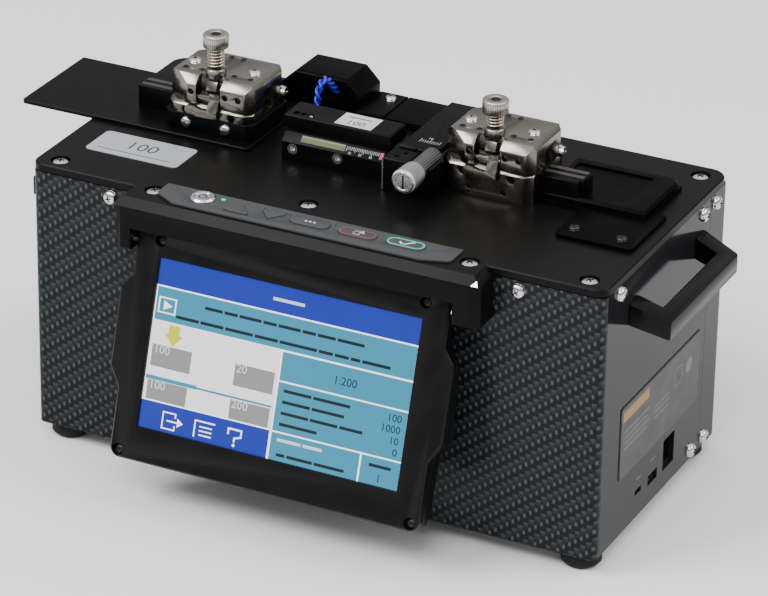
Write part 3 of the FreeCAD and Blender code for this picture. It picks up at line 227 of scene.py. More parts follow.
def fluted(name, color, centre, count, rough, axis="Y", strength=0.6):
    """Metal turned round an axis through 'centre' with straight flutes; its colour is painted lighter on the
    ridges and darker in the hollows, with a random drift.
    """
    m, t, s = tree_of(name)
    where = place_in(t)
    split = t.nodes.new("ShaderNodeSeparateXYZ")
    t.links.new(where, split.inputs[0])
    first, second = (0, 2) if axis == "Y" else (0, 1)
    a = math_node(t, "SUBTRACT", split.outputs[first], centre[first])
    b = math_node(t, "SUBTRACT", split.outputs[second], centre[second])
    turn = math_node(t, "ARCTAN2", b, a)
    ridge = math_node(t, "SINE", math_node(t, "MULTIPLY", turn, float(count)))
    drift = noise(t, where, 300.0)
    # painted highlight and shade: lighter on the flute ridges and darker in the hollows, plus a random drift
    shade = math_node(t, "ADD", math_node(t, "MULTIPLY", ridge, 0.35), math_node(t, "MULTIPLY", drift, 0.5))
    tone = mix(t, remap(t, shade, 0.0, 1.0, -0.2, 0.7), scaled(color, 0.62), scaled(color, 1.1))
    t.links.new(tone, s.inputs["Base Color"])
    t.links.new(remap(t, drift, rough * 0.8, rough * 1.25), s.inputs["Roughness"])
    s.inputs["Metallic"].default_value = 1.0
    bump(t, s, ridge, strength, FLUTE_DEPTH)
    return m


thimble_lo, thimble_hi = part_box("micrometer_thimble")
mic_axis = (thimble_lo + thimble_hi) / 2
BLACK = (0.006, 0.006, 0.006)
moulded_key = dict(vary=0.07, scale=200, grain=0.2, grain_scale=3400, spec=0.2)

looks = {
    "panel_print": weave("front_weave"),
    "side_paint": surface("side_gloss", (0.010, 0.010, 0.012), 0.10, vary=0.15, scale=30, grain=0.02,
                          grain_scale=900, stretch=(1, 6, 1), spec=0.13),
    "deck_black": surface("deck_black", (0.003, 0.003, 0.0029), 0.36, vary=0.2, scale=24, grain=0.05,
                          grain_scale=3000, spec=0.09),
    "black_anodised": surface("black_anodised", (0.0025, 0.0025, 0.0028), 0.34, vary=0.2, scale=90,
                              grain_scale=4000, spec=0.07),
    "core_alloy": surface("core_alloy", (0.32, 0.33, 0.34), metal=1.0),
    "nickel": surface("satin_nickel", (0.215, 0.198, 0.168), 0.25, metal=1.0, vary=0.12, scale=110,
                      grain=0.06, grain_scale=2600, stretch=(1, 4, 1)),
    "steel": surface("satin_steel", (0.66, 0.66, 0.65), 0.22, metal=1.0, scale=200, grain=0.05),
    "spring_steel": surface("spring_gilt", (0.60, 0.53, 0.42), 0.22, metal=1.0, vary=0.1, scale=300,
                            grain=0.05),
    "black_screw": surface("black_oxide", BLACK, 0.3, metal=0.2, vary=0.15, scale=300),
    "rubber": surface("foot_rubber", BLACK, 0.7, vary=0.2, scale=200, grain=0.35, grain_scale=1800,
                      spec=0.25),
    "handle_black": surface("handle_black", (0.002, 0.002, 0.0024), 0.2, vary=0.15, scale=90, grain=0.06,
                            grain_scale=3200, spec=0.12),
    "plastic_black": surface("cover_black", (0.0015, 0.0015, 0.0018), 0.34, vary=0.2, scale=120,
                             grain_scale=3600, spec=0.03),
    "bezel_plastic": surface("bezel_black", (0.0035, 0.0035, 0.0035), 0.34, vary=0.2, scale=100, grain=0.2,
                             grain_scale=3800, spec=0.16),
    "pad_grey": surface("pad_slate", (0.046, 0.049, 0.053), 0.42, vary=0.07, scale=140, grain=0.2,
                        grain_scale=3400, spec=0.2),
    "key_grey": surface("key_slate", (0.050, 0.053, 0.057), **moulded_key),
    "key_red": surface("key_slate_red", (0.048, 0.048, 0.052), **moulded_key),
    "key_green": surface("key_slate_green", (0.050, 0.054, 0.057), **moulded_key),
    "lcd": surface("screen_dark", (0.01, 0.01, 0.012), 0.2, vary=0.1, scale=200, grain=0.0),
    "led_green": surface("led_green", (0.02, 0.55, 0.10), 0.25, vary=0.1, scale=600, grain=0.0,
                         grain_scale=2000, coat=0.4, glow=0.6),
    "label_white": surface("plate_silver", (0.38, 0.40, 0.45), 0.34, metal=0.25, vary=0.05, scale=60,
                           grain_scale=2600, stretch=(1, 8, 1)),
    "wire_blue": surface("wire_blue", (0.004, 0.006, 0.50), 0.28, vary=0.15, scale=400, grain_scale=3000,
                         coat=0.1),
    "port_black": surface("port_black", (0.004, 0.004, 0.004), vary=0.2, scale=300, grain=0.2,
                          grain_scale=2000, spec=0.2),
}
label_grey = surface("label_grey", (0.042, 0.043, 0.046), 0.42, vary=0.04, scale=80, grain=0.06,
                     grain_scale=2200, stretch=(1, 6, 1), spec=0.3)
thimble_metal = fluted("thimble_flutes", (0.80, 0.80, 0.81), mic_axis, 54, 0.3)
barrel_metal = fluted("barrel_knurl", (0.22, 0.22, 0.225), mic_axis, 26, 0.42)
plain_metal = surface("turned_steel", (0.70, 0.70, 0.71), 0.26, metal=1.0, vary=0.06, scale=260, grain=0.05)
ring_metal = surface("ring_bright", (0.74, 0.74, 0.75), 0.2, metal=1.0, vary=0.06, scale=260, grain=0.04)
polished = surface("polished_edge", (0.75, 0.76, 0.76), 0.25, metal=1.0, scale=300, grain=0.03)
guide_grey = surface("guide_grey", (0.055, 0.05, 0.045), 0.35, metal=0.3, vary=0.1, scale=200, grain=0.08,
                     grain_scale=2600, stretch=(8, 1, 1), spec=0.3)
# painted shade: a near-black stand-in for the shade inside holes, slots and the crosses of screw heads
painted_hole_shade = surface("recess_painted_shade", BLACK, 0.6, vary=0.2, scale=300, grain=0.2, grain_scale=2000, spec=0.2)

white_print = ink("print_white", (0.62, 0.63, 0.64), 0.06, 0.45)
black_print = ink("print_black", (0.004, 0.004, 0.004), 0.2, spec=0.2)
red_print = ink("print_red", (0.19, 0.035, 0.05), 0.1, 0.45)
green_print = ink("print_green", (0.02, 0.42, 0.29), 0.08, 0.4, glow=0.08)
scale_white = ink("scale_white", (0.42, 0.42, 0.42), 0.06)
scale_lime = ink("scale_lime", (0.065, 0.07, 0.012), 0.12)
scale_red = ink("scale_red", (0.35, 0.03, 0.05), 0.1)
label_paper = ink("label_paper", (0.50, 0.51, 0.52), 0.05, scale=300)
faint_ink = ink("faint_ink", (0.045, 0.045, 0.05), 0.1, scale=300)
print_grey = ink("print_grey", (0.12, 0.12, 0.125), 0.08, scale=300)
print_orange = ink("print_orange", (0.30, 0.17, 0.04), 0.1, scale=300)

own_look = {"rating_label": label_grey, "micrometer_barrel": barrel_metal, "power_ring": ring_metal,
            "power_button": ring_metal}
for node, obj in frame["nodes"].items():
    obj.data.materials.clear()
    obj.data.materials.append(own_look.get(node, looks[slot_of[node]]))


# ---------------------------------------------------------------- builders
MERGE = 2e-6                            # metres within which corners are taken as one
FLAT = math.radians(0.6)                # faces that meet flatter than this are joined
SHARP = math.radians(38)                # edges sharper than this are broken
PRINT = 0.03                            # millimetres, thickness of a print


def piece(name, mesh, material, node, stands=False):
    """A visible piece on a CAD node's body, with the given material; it may stand for the node."""
    obj = bpy.data.objects.new(name, mesh)
    bpy.context.scene.collection.objects.link(obj)
    mesh.materials.clear()
    mesh.materials.append(material)
    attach(obj, body_of[node])
    if stands:
        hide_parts(node)


def mesh_from(name, bm, smooth=False):
    mesh = bpy.data.meshes.new(name)
    for f in bm.faces:
        f.smooth = smooth
    bm.to_mesh(mesh)
    bm.free()
    return mesh


def baked(data, bevel=0.0):
    """The mesh that Blender makes of a curve, or of a mesh with its sharp edges bevelled."""
    probe = bpy.data.objects.new("probe", data)
    bpy.context.scene.collection.objects.link(probe)
    if bevel:
        mod = probe.modifiers.new("edges", "BEVEL")
        mod.width = bevel * MM
        mod.segments = 2
        mod.limit_method = "ANGLE"
        mod.angle_limit = SHARP
        mod.harden_normals = True
    bpy.context.view_layer.update()
    mesh = bpy.data.meshes.new_from_object(probe.evaluated_get(bpy.context.evaluated_depsgraph_get()))
    bpy.data.objects.remove(probe)
    return mesh


def welded(node):
    """The CAD node's mesh with each corner there once."""
    bm = bmesh.new()
    bm.from_mesh(frame["nodes"][node].data)
    bmesh.ops.remove_doubles(bm, verts=bm.verts, dist=MERGE)
    return bm


def softened(node, width, merge):
    """The CAD node drawn again with its sharp edges broken; merge joins faces that lie flat."""
    bm = welded(node)
    if merge:
        bmesh.ops.dissolve_limit(bm, angle_limit=FLAT, verts=bm.verts, edges=bm.edges)
    mesh = mesh_from(node + "_soft", bm, True)
    done = baked(mesh, width)
    bpy.data.meshes.remove(mesh)
    done.name = node + "_soft"
    piece(node + "_soft", done, looks[slot_of[node]], node, True)


def islands(node):
    """Low and high corners of each separate solid of a CAD node."""
    bm = welded(node)
    seen, out = set(), []
    for start in bm.verts:
        if start in seen:
            continue
        stack, group = [start], []
        seen.add(start)
        while stack:
            v = stack.pop()
            group.append(v.co.copy())
            for e in v.link_edges:
                o = e.other_vert(v)
                if o not in seen:
                    seen.add(o)
                    stack.append(o)
        out.append((Vector([min(p[i] for p in group) for i in range(3)]),
                    Vector([max(p[i] for p in group) for i in range(3)])))
    bm.free()
    return out


def turned_onto(direction, spin=0.0):
    """Rotation that takes +Z onto a direction."""
    swing = Vector(UP).rotation_difference(Vector(direction).normalized())
    return swing.to_matrix().to_4x4() @ Matrix.Rotation(spin, 4, "Z")


def rect(x0, x1, y0, y1):
    return [(x0, y0), (x1, y0), (x1, y1), (x0, y1)]


def arc(x, y, rx, ry, start, step, count):
    """Points on an ellipse, by angle in radians."""
    return [(x + rx * math.cos(start + k * step), y + ry * math.sin(start + k * step)) for k in range(count)]


def disc(x, y, r, sides=24):
    return arc(x, y, r, r, 0.0, 2 * math.pi / sides, sides)


def add_turned(bm, profile, place, sides=32):
    """Surface of revolution from (radius, height) pairs, in millimetres."""
    rings = []
    for r, z in profile:
        spots = disc(0, 0, r, sides) if r > 0 else [(0, 0)]
        rings.append([bm.verts.new(place @ (Vector((x, y, z)) * MM)) for x, y in spots])
    for low, high in zip(rings, rings[1:]):
        for k in range(sides):
            n = (k + 1) % sides
            if len(low) == 1:
                bm.faces.new([low[0], high[k], high[n]])
            elif len(high) == 1:
                bm.faces.new([low[k], low[n], high[0]])
            else:
                bm.faces.new([low[k], low[n], high[n], high[k]])


def add_prism(bm, outline, place, z0, z1):
    """Closed flat outline in millimetres, between two heights."""
    low, high = [[bm.verts.new(place @ (Vector((x, y, z)) * MM)) for x, y in outline] for z in (z0, z1)]
    bm.faces.new(low[::-1])
    bm.faces.new(high)
    for k in range(len(outline)):
        n = (k + 1) % len(outline)
        bm.faces.new([low[k], low[n], high[n], high[k]])


def stroke(points, width, closed=False):
    """Quads along a line of points."""
    out = []
    ends = points[1:] + points[:1] if closed else points[1:]
    for (ax, ay), (bx, by) in zip(points, ends):
        length = math.hypot(bx - ax, by - ay)
        tx, ty = (bx - ax) / length * width / 2, (by - ay) / length * width / 2
        out.append([(ax - tx - ty, ay - ty + tx), (ax - tx + ty, ay - ty - tx),
                    (bx + tx + ty, by + ty - tx), (bx + tx - ty, by + ty + tx)])
    return out


def plane(origin, u, v):
    """Local frame: X along u, Y along v, Z out of the surface."""
    u, v = Vector(u).normalized(), Vector(v).normalized()
    m = Matrix((u, v, u.cross(v))).transposed().to_4x4()
    m.translation = origin
    return m


def marks(name, node, outlines, place, material, low=0.0, high=PRINT):
    """Many flat outlines as one printed piece on a node."""
    bm = bmesh.new()
    for o in outlines:
        area = sum(a[0] * b[1] - b[0] * a[1] for a, b in zip(o, o[1:] + o[:1]))
        add_prism(bm, o if area > 0 else o[::-1], place, low, high)
    piece(name, mesh_from(name, bm), material, node)


def writing(name, node, text, size, place, x, y, material, low=0.0, high=PRINT, spread="LEFT"):
    """Plain numbers as a thin printed piece; y is the base line."""
    curve = bpy.data.curves.new(name, "FONT")
    curve.body = text
    curve.size = size
    curve.align_x = spread
    curve.extrude = (high - low) / 2
    curve.resolution_u = 3
    mesh = baked(curve)
    mesh.transform(place @ Matrix.Scale(MM, 4) @ Matrix.Translation((x, y, (low + high) / 2)))
    piece(name, mesh, material, node)


def word_bars(x0, x1, y, height, words):
    """A line of text stood in for by plain bars; words are relative lengths."""
    gap = height * 0.7
    room = (x1 - x0) - gap * (len(words) - 1)
    out, x = [], x0
    for w in words:
        length = room * w / sum(words)
        out.append(rect(x, x + length, y, y + height))
        x += length + gap
    return out


def tube(name, points, radius, resolution):
    """Round wire with closed ends along a line of points, all in metres."""
    curve = bpy.data.curves.new(name, "CURVE")
    curve.dimensions = "3D"
    curve.bevel_depth = radius
    curve.bevel_resolution = resolution
    curve.use_fill_caps = True
    line = curve.splines.new("POLY")
    line.points.add(len(points) - 1)
    for spot, p in zip(line.points, points):
        spot.co = (*p, 1)
    mesh = baked(curve)
    for f in mesh.polygons:
        f.use_smooth = True
    return mesh


# ---------------------------------------------------------------- edges broken on the parts in sight
for node, width in (
        ("left_clamp_lid", 0.22), ("right_clamp_lid", 0.22), ("left_clamp_block", 0.22),
        ("right_clamp_block", 0.22), ("left_latch", 0.2), ("right_latch", 0.2), ("left_clamp_base", 0.25),
        ("monitor_bezel", 0.35), ("monitor_bracket", 0.3), ("handle_left", 0.4), ("handle_right", 0.4),
        ("keypad_plate", 0.22), ("micrometer_bracket", 0.25), ("ruler_rail", 0.2), ("stop_bar", 0.25),
        ("blade_cover", 0.5), ("flat_cover", 0.25), ("moulded_cover", 0.35), ("right_fibre_guide", 0.15),
        ("left_fibre_guide", 0.15), ("monitor_shell", 0.4),
        ("key_up", 0.2), ("key_down", 0.2), ("key_fn", 0.2), ("key_reset", 0.2), ("key_set", 0.2)):
    softened(node, width, not node.endswith(("_lid", "_block", "_latch")))


# ---------------------------------------------------------------- screws
TILT = math.radians(17.0)               # lean of the display at rest
SPIN_STEP, RECESS_SPIN = 0.4, 0.3       # radians; no two neighbouring heads stand alike
DOME_STEPS = 6
BASE_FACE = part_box("left_clamp_base")[0].y
COVER_FROM = 80                         # the stage screws beyond this x hold the flat cover


def add_screw(bm, centre, out, d, h, spin):
    """Pan head: a short straight edge under a low dome."""
    r, edge, dome = d / 2, h * 0.25, h * 0.73
    crown = [(0.0, 0.0), (r, 0.0), (r, edge)]
    for k in range(1, DOME_STEPS + 1):
        a = k / DOME_STEPS * math.pi / 2 * 0.86
        crown.append((r * math.cos(a), edge + dome * math.sin(a)))
    crown.append((0.0, h))
    add_turned(bm, crown, Matrix.Translation(centre) @ turned_onto(out, spin))


def screws(node, d, h, outward, material, among=None, stands=True):
    """Finer heads in the place of a CAD group, each with a dark cross of painted shade in its head;
    outward(centre) tells where each faces.
    """
    heads, recess_shade = bmesh.new(), bmesh.new()
    name = node if stands else node + "_dark"
    arm, wide = d * 0.2, d * 0.042
    for k, (lo, hi) in enumerate(islands(node)):
        mid = (lo + hi) / 2
        if among and not among(mid):
            continue
        out = Vector(outward(mid)).normalized()
        half = abs((hi - lo).dot(Vector([abs(c) for c in out]))) / 2
        if out.y and out.z:
            half = h * MM / 2           # the box of a leaning head is deeper than the head
        seat = mid - out * half
        spin = SPIN_STEP * k
        add_screw(heads, seat, out, d, h * 0.98, spin)
        place = Matrix.Translation(seat) @ turned_onto(out, spin + RECESS_SPIN)
        # the cross is not cut: a dark cross of painted shade sits in the head
        for o in (rect(-arm, arm, -wide, wide), rect(-wide, wide, -arm, arm)):
            add_prism(recess_shade, o, place, h * 0.5, h * 0.999)
    piece(name + "_heads", mesh_from(name + "_heads", heads, True), material, node, stands)
    piece(name + "_recesses", mesh_from(name + "_recesses", recess_shade), painted_hole_shade, node)


def upward(p):
    return UP


def panel_out(p):
    """Out of the side panel or the front panel that a screw is in."""
    if abs(p.x - MIDDLE.x) > (core_hi.x - core_lo.x) / 2:
        return (math.copysign(1, p.x - MIDDLE.x), 0, 0)
    return (0, math.copysign(1, p.y - MIDDLE.y), 0)


def stage_out(p):
    return (0, -1, 0) if abs(p.y - BASE_FACE) < 1.2 * MM else UP


def display_out(p):
    return (0, -math.cos(TILT), math.sin(TILT))


def on_cover(p):
    return p.x > MIDDLE.x + COVER_FROM * MM


def off_cover(p):
    return not on_cover(p)


screws("panel_screws", 5.6, 2.2, panel_out, looks["steel"])
screws("deck_screws", 7.0, 1.95, upward, looks["steel"])
screws("stage_screws", 4.4, 1.5, stage_out, looks["steel"], off_cover)
screws("stage_screws", 4.4, 1.5, stage_out, looks["black_screw"], on_cover, False)
screws("left_lid_screws", 5.0, 1.5, upward, looks["steel"])
screws("right_lid_screws", 5.0, 1.5, upward, looks["steel"])
screws("monitor_screws", 4.2, 1.4, display_out, looks["black_screw"])

# ---------------------------------------------------------------- knobs, and the holes in the lids as discs of painted shade
STEM_R = 1.8
MOUTH_R, PIT_R, HEX_R = 2.3, 2.05, 1.98     # the socket's mouth, its floor, and the key's hexagon
RIM = 0.8                                   # width and height of the head's rounded rim
PIT_DEEP = 0.3
LID_TOP_DROP = 3.0                          # from the spring's foot down to the lid's top
LID_HOLES = ((-14.0, 1.7), (-7.0, 1.7), (7.0, 1.7), (14.0, 1.7), (-2.6, 17.6), (2.6, 17.6))


def knob(side):
    """Finely fluted head with a rounded rim over the plain stem."""
    node = side + "_knob"
    lo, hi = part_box(node)
    top = Vector(((lo.x + hi.x) / 2, (lo.y + hi.y) / 2, hi.z))
    place = Matrix.Translation(top)
    r, foot = (hi.x - lo.x) / 2 / MM, (hi.z - lo.z) / MM
    drop = (hi.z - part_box(node + "_spring")[1].z) / MM
    bm = bmesh.new()
    add_turned(bm, [(STEM_R, -foot), (STEM_R, -drop), (r - 0.3, -drop), (r, 0.3 - drop), (r, -RIM),
                    (r - 0.25, -0.3), (r - RIM, 0.0), (MOUTH_R, 0.0), (PIT_R, -PIT_DEEP)], place, 72)
    grip = fluted(node + "_flutes", (0.46, 0.435, 0.39), top, 34, 0.33, "Z", 0.18)
    piece(node + "_head", mesh_from(node + "_head", bm, True), grip, node, True)
    marks(node + "_land", node, [disc(0, 0, 2.1)], place, looks["nickel"], -0.36, -PIT_DEEP)
    # the hexagon socket is drawn as a dark hexagon of painted shade
    marks(node + "_socket", node, [disc(0, 0, HEX_R, 6)], place, painted_hole_shade, -PIT_DEEP, -0.25)


def lid_hole_shade(side):
    """The mouths of the tapped holes in the lid's top, drawn as dark discs of painted shade."""
    lo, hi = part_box(side + "_knob")
    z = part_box(side + "_knob_spring")[0].z - LID_TOP_DROP * MM
    place = Matrix.Translation(((lo.x + hi.x) / 2, (lo.y + hi.y) / 2, z))
    marks(side + "_lid_hole_shade", side + "_clamp_lid", [disc(x, y, 1.1, 20) for x, y in LID_HOLES], place,
          painted_hole_shade)


for side in ("left", "right"):
    knob(side)
    lid_hole_shade(side)

# ---------------------------------------------------------------- springs
SPRING_WIRE, SPRING_PITCH = 0.7, 1.25
COIL_STEPS = 28                         # straight steps in a turn


def spring(node):
    lo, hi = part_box(node)
    mid = (lo + hi) / 2
    radius = (hi.x - lo.x) / 2 / MM - SPRING_WIRE / 2 - 0.05
    rise = (hi.z - lo.z) / MM - SPRING_WIRE
    turns = rise / SPRING_PITCH
    steps = int(turns * COIL_STEPS)
    points = []
    for k in range(steps + 1):
        a = 2 * math.pi * turns * k / steps
        points.append((mid.x + radius * MM * math.cos(a), mid.y + radius * MM * math.sin(a),
                       lo.z + (SPRING_WIRE / 2 + rise * k / steps) * MM))
    coil = tube(node + "_coil", points, SPRING_WIRE / 2 * MM, 3)
    piece(node + "_coil", coil, looks["spring_steel"], node, True)


spring("left_knob_spring")
spring("right_knob_spring")

# ---------------------------------------------------------------- twisted signal wires
# (y, height over the deck): up out of the deck, round a bend, and down into the cover
WIRE_POINTS = [(24.0, -1.2), (24.0, 11.5), (24.38, 13.41), (25.46, 15.04), (27.09, 16.12), (29.0, 16.5),
               (30.91, 16.12), (32.54, 15.04), (40.2, 7.38)]
WIRE_X = -39.0
WIRE_R = 0.62
TWIST_R, TWISTS = 0.85, 4.5
WIRE_STEPS = 150


def strand(number):
    run = [Vector((WIRE_X, y, DECK + z)) for y, z in WIRE_POINTS]
    reach = [0.0]
    for a, b in zip(run, run[1:]):
        reach.append(reach[-1] + (b - a).length)
    points = []
    for k in range(WIRE_STEPS + 1):
        s = reach[-1] * k / WIRE_STEPS
        leg = max(i for i in range(len(run) - 1) if reach[i] <= s + 1e-9)
        p = run[leg].lerp(run[leg + 1], (s - reach[leg]) / (reach[leg + 1] - reach[leg]))
        aside = Vector(ALONG)
        above = aside.cross((run[leg + 1] - run[leg]).normalized())
        a = math.pi * number + 2 * math.pi * TWISTS * k / WIRE_STEPS
        p = p + aside * (TWIST_R * math.cos(a)) + above * (TWIST_R * math.sin(a))
        points.append(at(*p))
    name = f"blue_wires_strand_{number + 1}"
    piece(name, tube(name, points, WIRE_R * MM, 4), looks["wire_blue"], "blue_wires", number == 0)


strand(0)
strand(1)

# ---------------------------------------------------------------- the picture on the display
PANEL_T = 3.0 * MM
LAP = 2.0                               # the bezel covers this much of the panel's edge
SCREEN_W, SCREEN_H = 108.4, 65.0
EDGE = 0.1                              # bare line round the picture
BAR_H = 1.15                            # height of the bars that stand for words
ROW_AT, ROW_STEP = 37.9, 4.2            # first row of the list of values, and from row to row
lcd_lo, lcd_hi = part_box("lcd_panel")
top = Vector((lcd_lo.x, lcd_hi.y - PANEL_T * math.cos(TILT), lcd_hi.z))
foot = Vector((lcd_lo.x, lcd_lo.y, lcd_lo.z + PANEL_T * math.sin(TILT)))
down = (foot - top).normalized()
# x runs right and y runs up from the lower left corner of the visible screen
screen = plane(top + Vector((LAP * MM, 0, 0)) + down * ((LAP + SCREEN_H) * MM), ALONG, -down)


def lit(name, color, glow=1.0):
    """Backlit field of the display, seen through a fine grid of dots."""
    m, t, s = tree_of(name)
    where = place_in(t)
    drift = noise(t, where, 25.0)
    dots = noise(t, where, 5000.0, 0.0)
    tone = mix(t, drift, scaled(color, 0.95), scaled(color, 1.04))
    tone = mix(t, remap(t, dots, 0.0, 0.3, 0.3, 0.7), tone, scaled(color, 0.92))
    t.links.new(tone, s.inputs["Emission Color"])
    s.inputs["Emission Strength"].default_value = glow
    t.links.new(mix(t, drift, (0.008, 0.008, 0.009), (0.011, 0.011, 0.012)), s.inputs["Base Color"])
    t.links.new(remap(t, drift, 0.28, 0.36), s.inputs["Roughness"])
    s.inputs["Specular IOR Level"].default_value = 0.25
    return m


SCREEN = {
    "white": lit("lit_white", (0.95, 0.95, 0.95), 2.2),
    "blue": lit("lit_blue", (0.010, 0.034, 0.56)),
    "cyan": lit("lit_cyan", (0.045, 0.40, 0.62)),
    "field": lit("lit_field", (0.80, 0.80, 0.81), 2.0),
    "block": lit("lit_block", (0.40, 0.40, 0.40)),
    "yellow": lit("lit_yellow", (0.80, 0.84, 0.0), 1.2),
    "ink": lit("lit_ink", (0.004, 0.010, 0.018)),
    "pale": lit("lit_pale", (0.72, 0.80, 0.86), 1.5),
}


def from_top(points):
    """Points given rightwards and downwards from the screen's top left corner."""
    return [(u, SCREEN_H - v) for u, v in points]


def down_rect(u0, u1, v0, v1):
    """Rectangle given from the screen's top left corner."""
    return rect(u0, u1, SCREEN_H - v1, SCREEN_H - v0)


def line_bars(u0, u1, v, words):
    """Bars for a line of text whose foot is v below the screen's top."""
    return word_bars(u0, u1, SCREEN_H - v, BAR_H, words)


def layer(level):
    """Heights of a layer of the picture over the glass."""
    low = 0.02 + 0.03 * level
    return low, low + 0.02


def on_screen(name, outlines, level, color):
    marks("screen_" + name, "lcd_panel", outlines, screen, SCREEN[color], *layer(level))


def screen_text(name, text, size, u, v, level, color, spread="LEFT"):
    writing("screen_" + name, "lcd_panel", text, size, screen, u, SCREEN_H - v, SCREEN[color],
            *layer(level), spread)


on_screen("ground", [down_rect(EDGE, SCREEN_W - EDGE, EDGE, SCREEN_H - EDGE)], 0, "white")
on_screen("header", [down_rect(EDGE, SCREEN_W - EDGE, EDGE, 10.2)], 1, "blue")
on_screen("footer", [down_rect(EDGE, 54.0, 54.3, SCREEN_H - EDGE)], 1, "blue")
on_screen("cells", [down_rect(0.6, 108.0, 10.8, 23.4), down_rect(55.0, 108.0, 24.1, 34.9),
                    down_rect(55.0, 108.0, 35.5, 53.9), down_rect(55.0, 91.5, 54.5, 64.9),
                    down_rect(92.2, 108.0, 54.5, 64.9)], 1, "cyan")
on_screen("field", [down_rect(EDGE, 54.3, 23.6, 53.8)], 1, "field")
on_screen("blocks", [down_rect(1.5, 18.2, 32.6, 41.0), down_rect(36.5, 53.0, 32.6, 41.0),
                     down_rect(1.5, 18.2, 46.3, 53.7), down_rect(36.5, 53.0, 46.3, 53.7)], 2, "block")
on_screen("fibre_line", [down_rect(0.5, 22.0, 44.6, 46.1), down_rect(22.0, 53.5, 45.1, 45.9)], 3, "cyan")
on_screen("arrow", [down_rect(7.5, 12.0, 24.4, 28.0), from_top([(6.0, 27.8), (9.8, 32.4), (13.6, 27.8)])],
          3, "yellow")
play_frame = stroke(from_top([(1.9, 14.7), (8.8, 14.7), (8.8, 20.3), (1.9, 20.3)]), 0.55, True)
on_screen("play_icon", play_frame + [from_top([(3.9, 15.7), (3.9, 19.3), (7.5, 17.5)])], 2, "white")

# written lines are stood in for by bars
text_bars = line_bars(21, 87, 15.6, (4, 3, 5, 3, 5, 3, 4, 6))
text_bars += line_bars(9.5, 98.5, 21.4, (5, 5, 6, 5, 8, 3, 3, 2, 6))
for k, words in enumerate(((6, 8), (6, 7), (6, 6, 5), (8,))):
    length = 1.85 * (sum(words) + 0.4 * len(words))
    text_bars += line_bars(57.5, 57.5 + length, ROW_AT + ROW_STEP * k + BAR_H, words)
text_bars += line_bars(58.0, 86.0, 63.2, (2, 6, 7))
text_bars += line_bars(95.5, 104.5, 58.2, (5,))
on_screen("text_bars", text_bars, 2, "ink")
on_screen("pale_bars", line_bars(48, 61, 6.0, (6,)) + line_bars(57.5, 76.0, 57.6, (5, 4)), 2, "pale")
for k, (u, v, text) in enumerate(((2.2, 35.8, "100"), (37.0, 35.8, "20"), (2.2, 49.4, "100"),
                                  (37.0, 49.4, "200"))):
    screen_text(f"number_{k + 1}", text, 4.6, u, v, 3, "pale")
screen_text("number_5", "1:200", 4.4, 81.5, 31.2, 2, "ink", "CENTER")
screen_text("number_6", "1", 4.0, 100.0, 63.4, 2, "ink", "CENTER")
for k, text in enumerate(("100", "1000", "10", "0")):
    screen_text(f"value_{k + 1}", text, 4.0, 106.0, ROW_AT + ROW_STEP * k + 2.0, 2, "ink", "RIGHT")

# three plain icons: leave, list and query
leave = stroke(from_top([(15.0, 58.6), (15.0, 57.2), (9.8, 57.2), (9.8, 63.4), (15.0, 63.4),
                         (15.0, 62.0)]), 0.5)
leave += stroke(from_top([(11.8, 60.3), (16.8, 60.3)]), 0.55)
leave += [from_top([(16.0, 58.6), (16.0, 62.0), (18.4, 60.3)])]
lists = stroke(from_top([(23.4, 63.4), (23.4, 57.4), (31.4, 57.4)]), 0.55)
for v in (59.4, 61.0, 62.6):
    lists += stroke(from_top([(25.6, v), (30.4, v)]), 0.5)
query = stroke(from_top([(37.4, 59.2), (37.4, 57.3), (42.8, 57.3), (42.8, 59.8), (40.2, 60.6),
                         (40.2, 61.8)]), 0.65)
query += [disc(40.2, SCREEN_H - 63.3, 0.6, 12)]
on_screen("icons", leave + lists + query, 2, "white")


# ---------------------------------------------------------------- keypad print
END_STEPS = 12                          # straight steps in a half turn


def level_plane(z):
    return plane(Vector((MIDDLE.x, MIDDLE.y, z)), ALONG, ACROSS)


def capsule(x0, x1, y0, y1):
    """Outline of a round-ended strip."""
    r, y = (y1 - y0) / 2, (y0 + y1) / 2
    step = math.pi / END_STEPS
    return (arc(x1 - r, y, r, r, -math.pi / 2, step, END_STEPS + 1)
            + arc(x0 + r, y, r, r, math.pi / 2, step, END_STEPS + 1))


def track(node, inset, width):
    """Round-ended ring that follows a long key's edge."""
    (x0, y0, _), (x1, y1, _) = about(node)
    outer, inner = [capsule(x0 + s, x1 - s, y0 + s, y1 - s) for s in (inset, inset + width)]
    n = len(outer)
    return [[outer[k], outer[(k + 1) % n], inner[(k + 1) % n], inner[k]] for k in range(n)]


def key_mark(node, label, outlines, material):
    marks(f"{node}_{label}", node, outlines, level_plane(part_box(node)[1].z), material)


def centre_of(node):
    (x0, y0, _), (x1, y1, _) = about(node)
    return (x0 + x1) / 2, (y0 + y1) / 2


x, y = centre_of("key_reset")
turn_back = stroke(arc(x, y, 1.7, 1.4, 0.6, 0.48, 11), 0.5)
turn_back += [[(x + 0.2, y + 0.3), (x + 2.6, y + 0.2), (x + 1.5, y + 2.1)]]
key_mark("key_reset", "ring", track("key_reset", 0.35, 0.55), red_print)
key_mark("key_reset", "sign", turn_back, white_print)
x, y = centre_of("key_set")
tick = stroke([(x - 2.4, y + 0.1), (x - 0.7, y - 1.5), (x + 2.6, y + 1.7)], 0.75)
key_mark("key_set", "ring", track("key_set", 0.25, 0.75), green_print)
key_mark("key_set", "sign", tick, white_print)
x, y = centre_of("key_fn")
key_mark("key_fn", "sign", [disc(x + d, y, 0.5, 14) for d in (-1.7, 0.0, 1.7)], white_print)

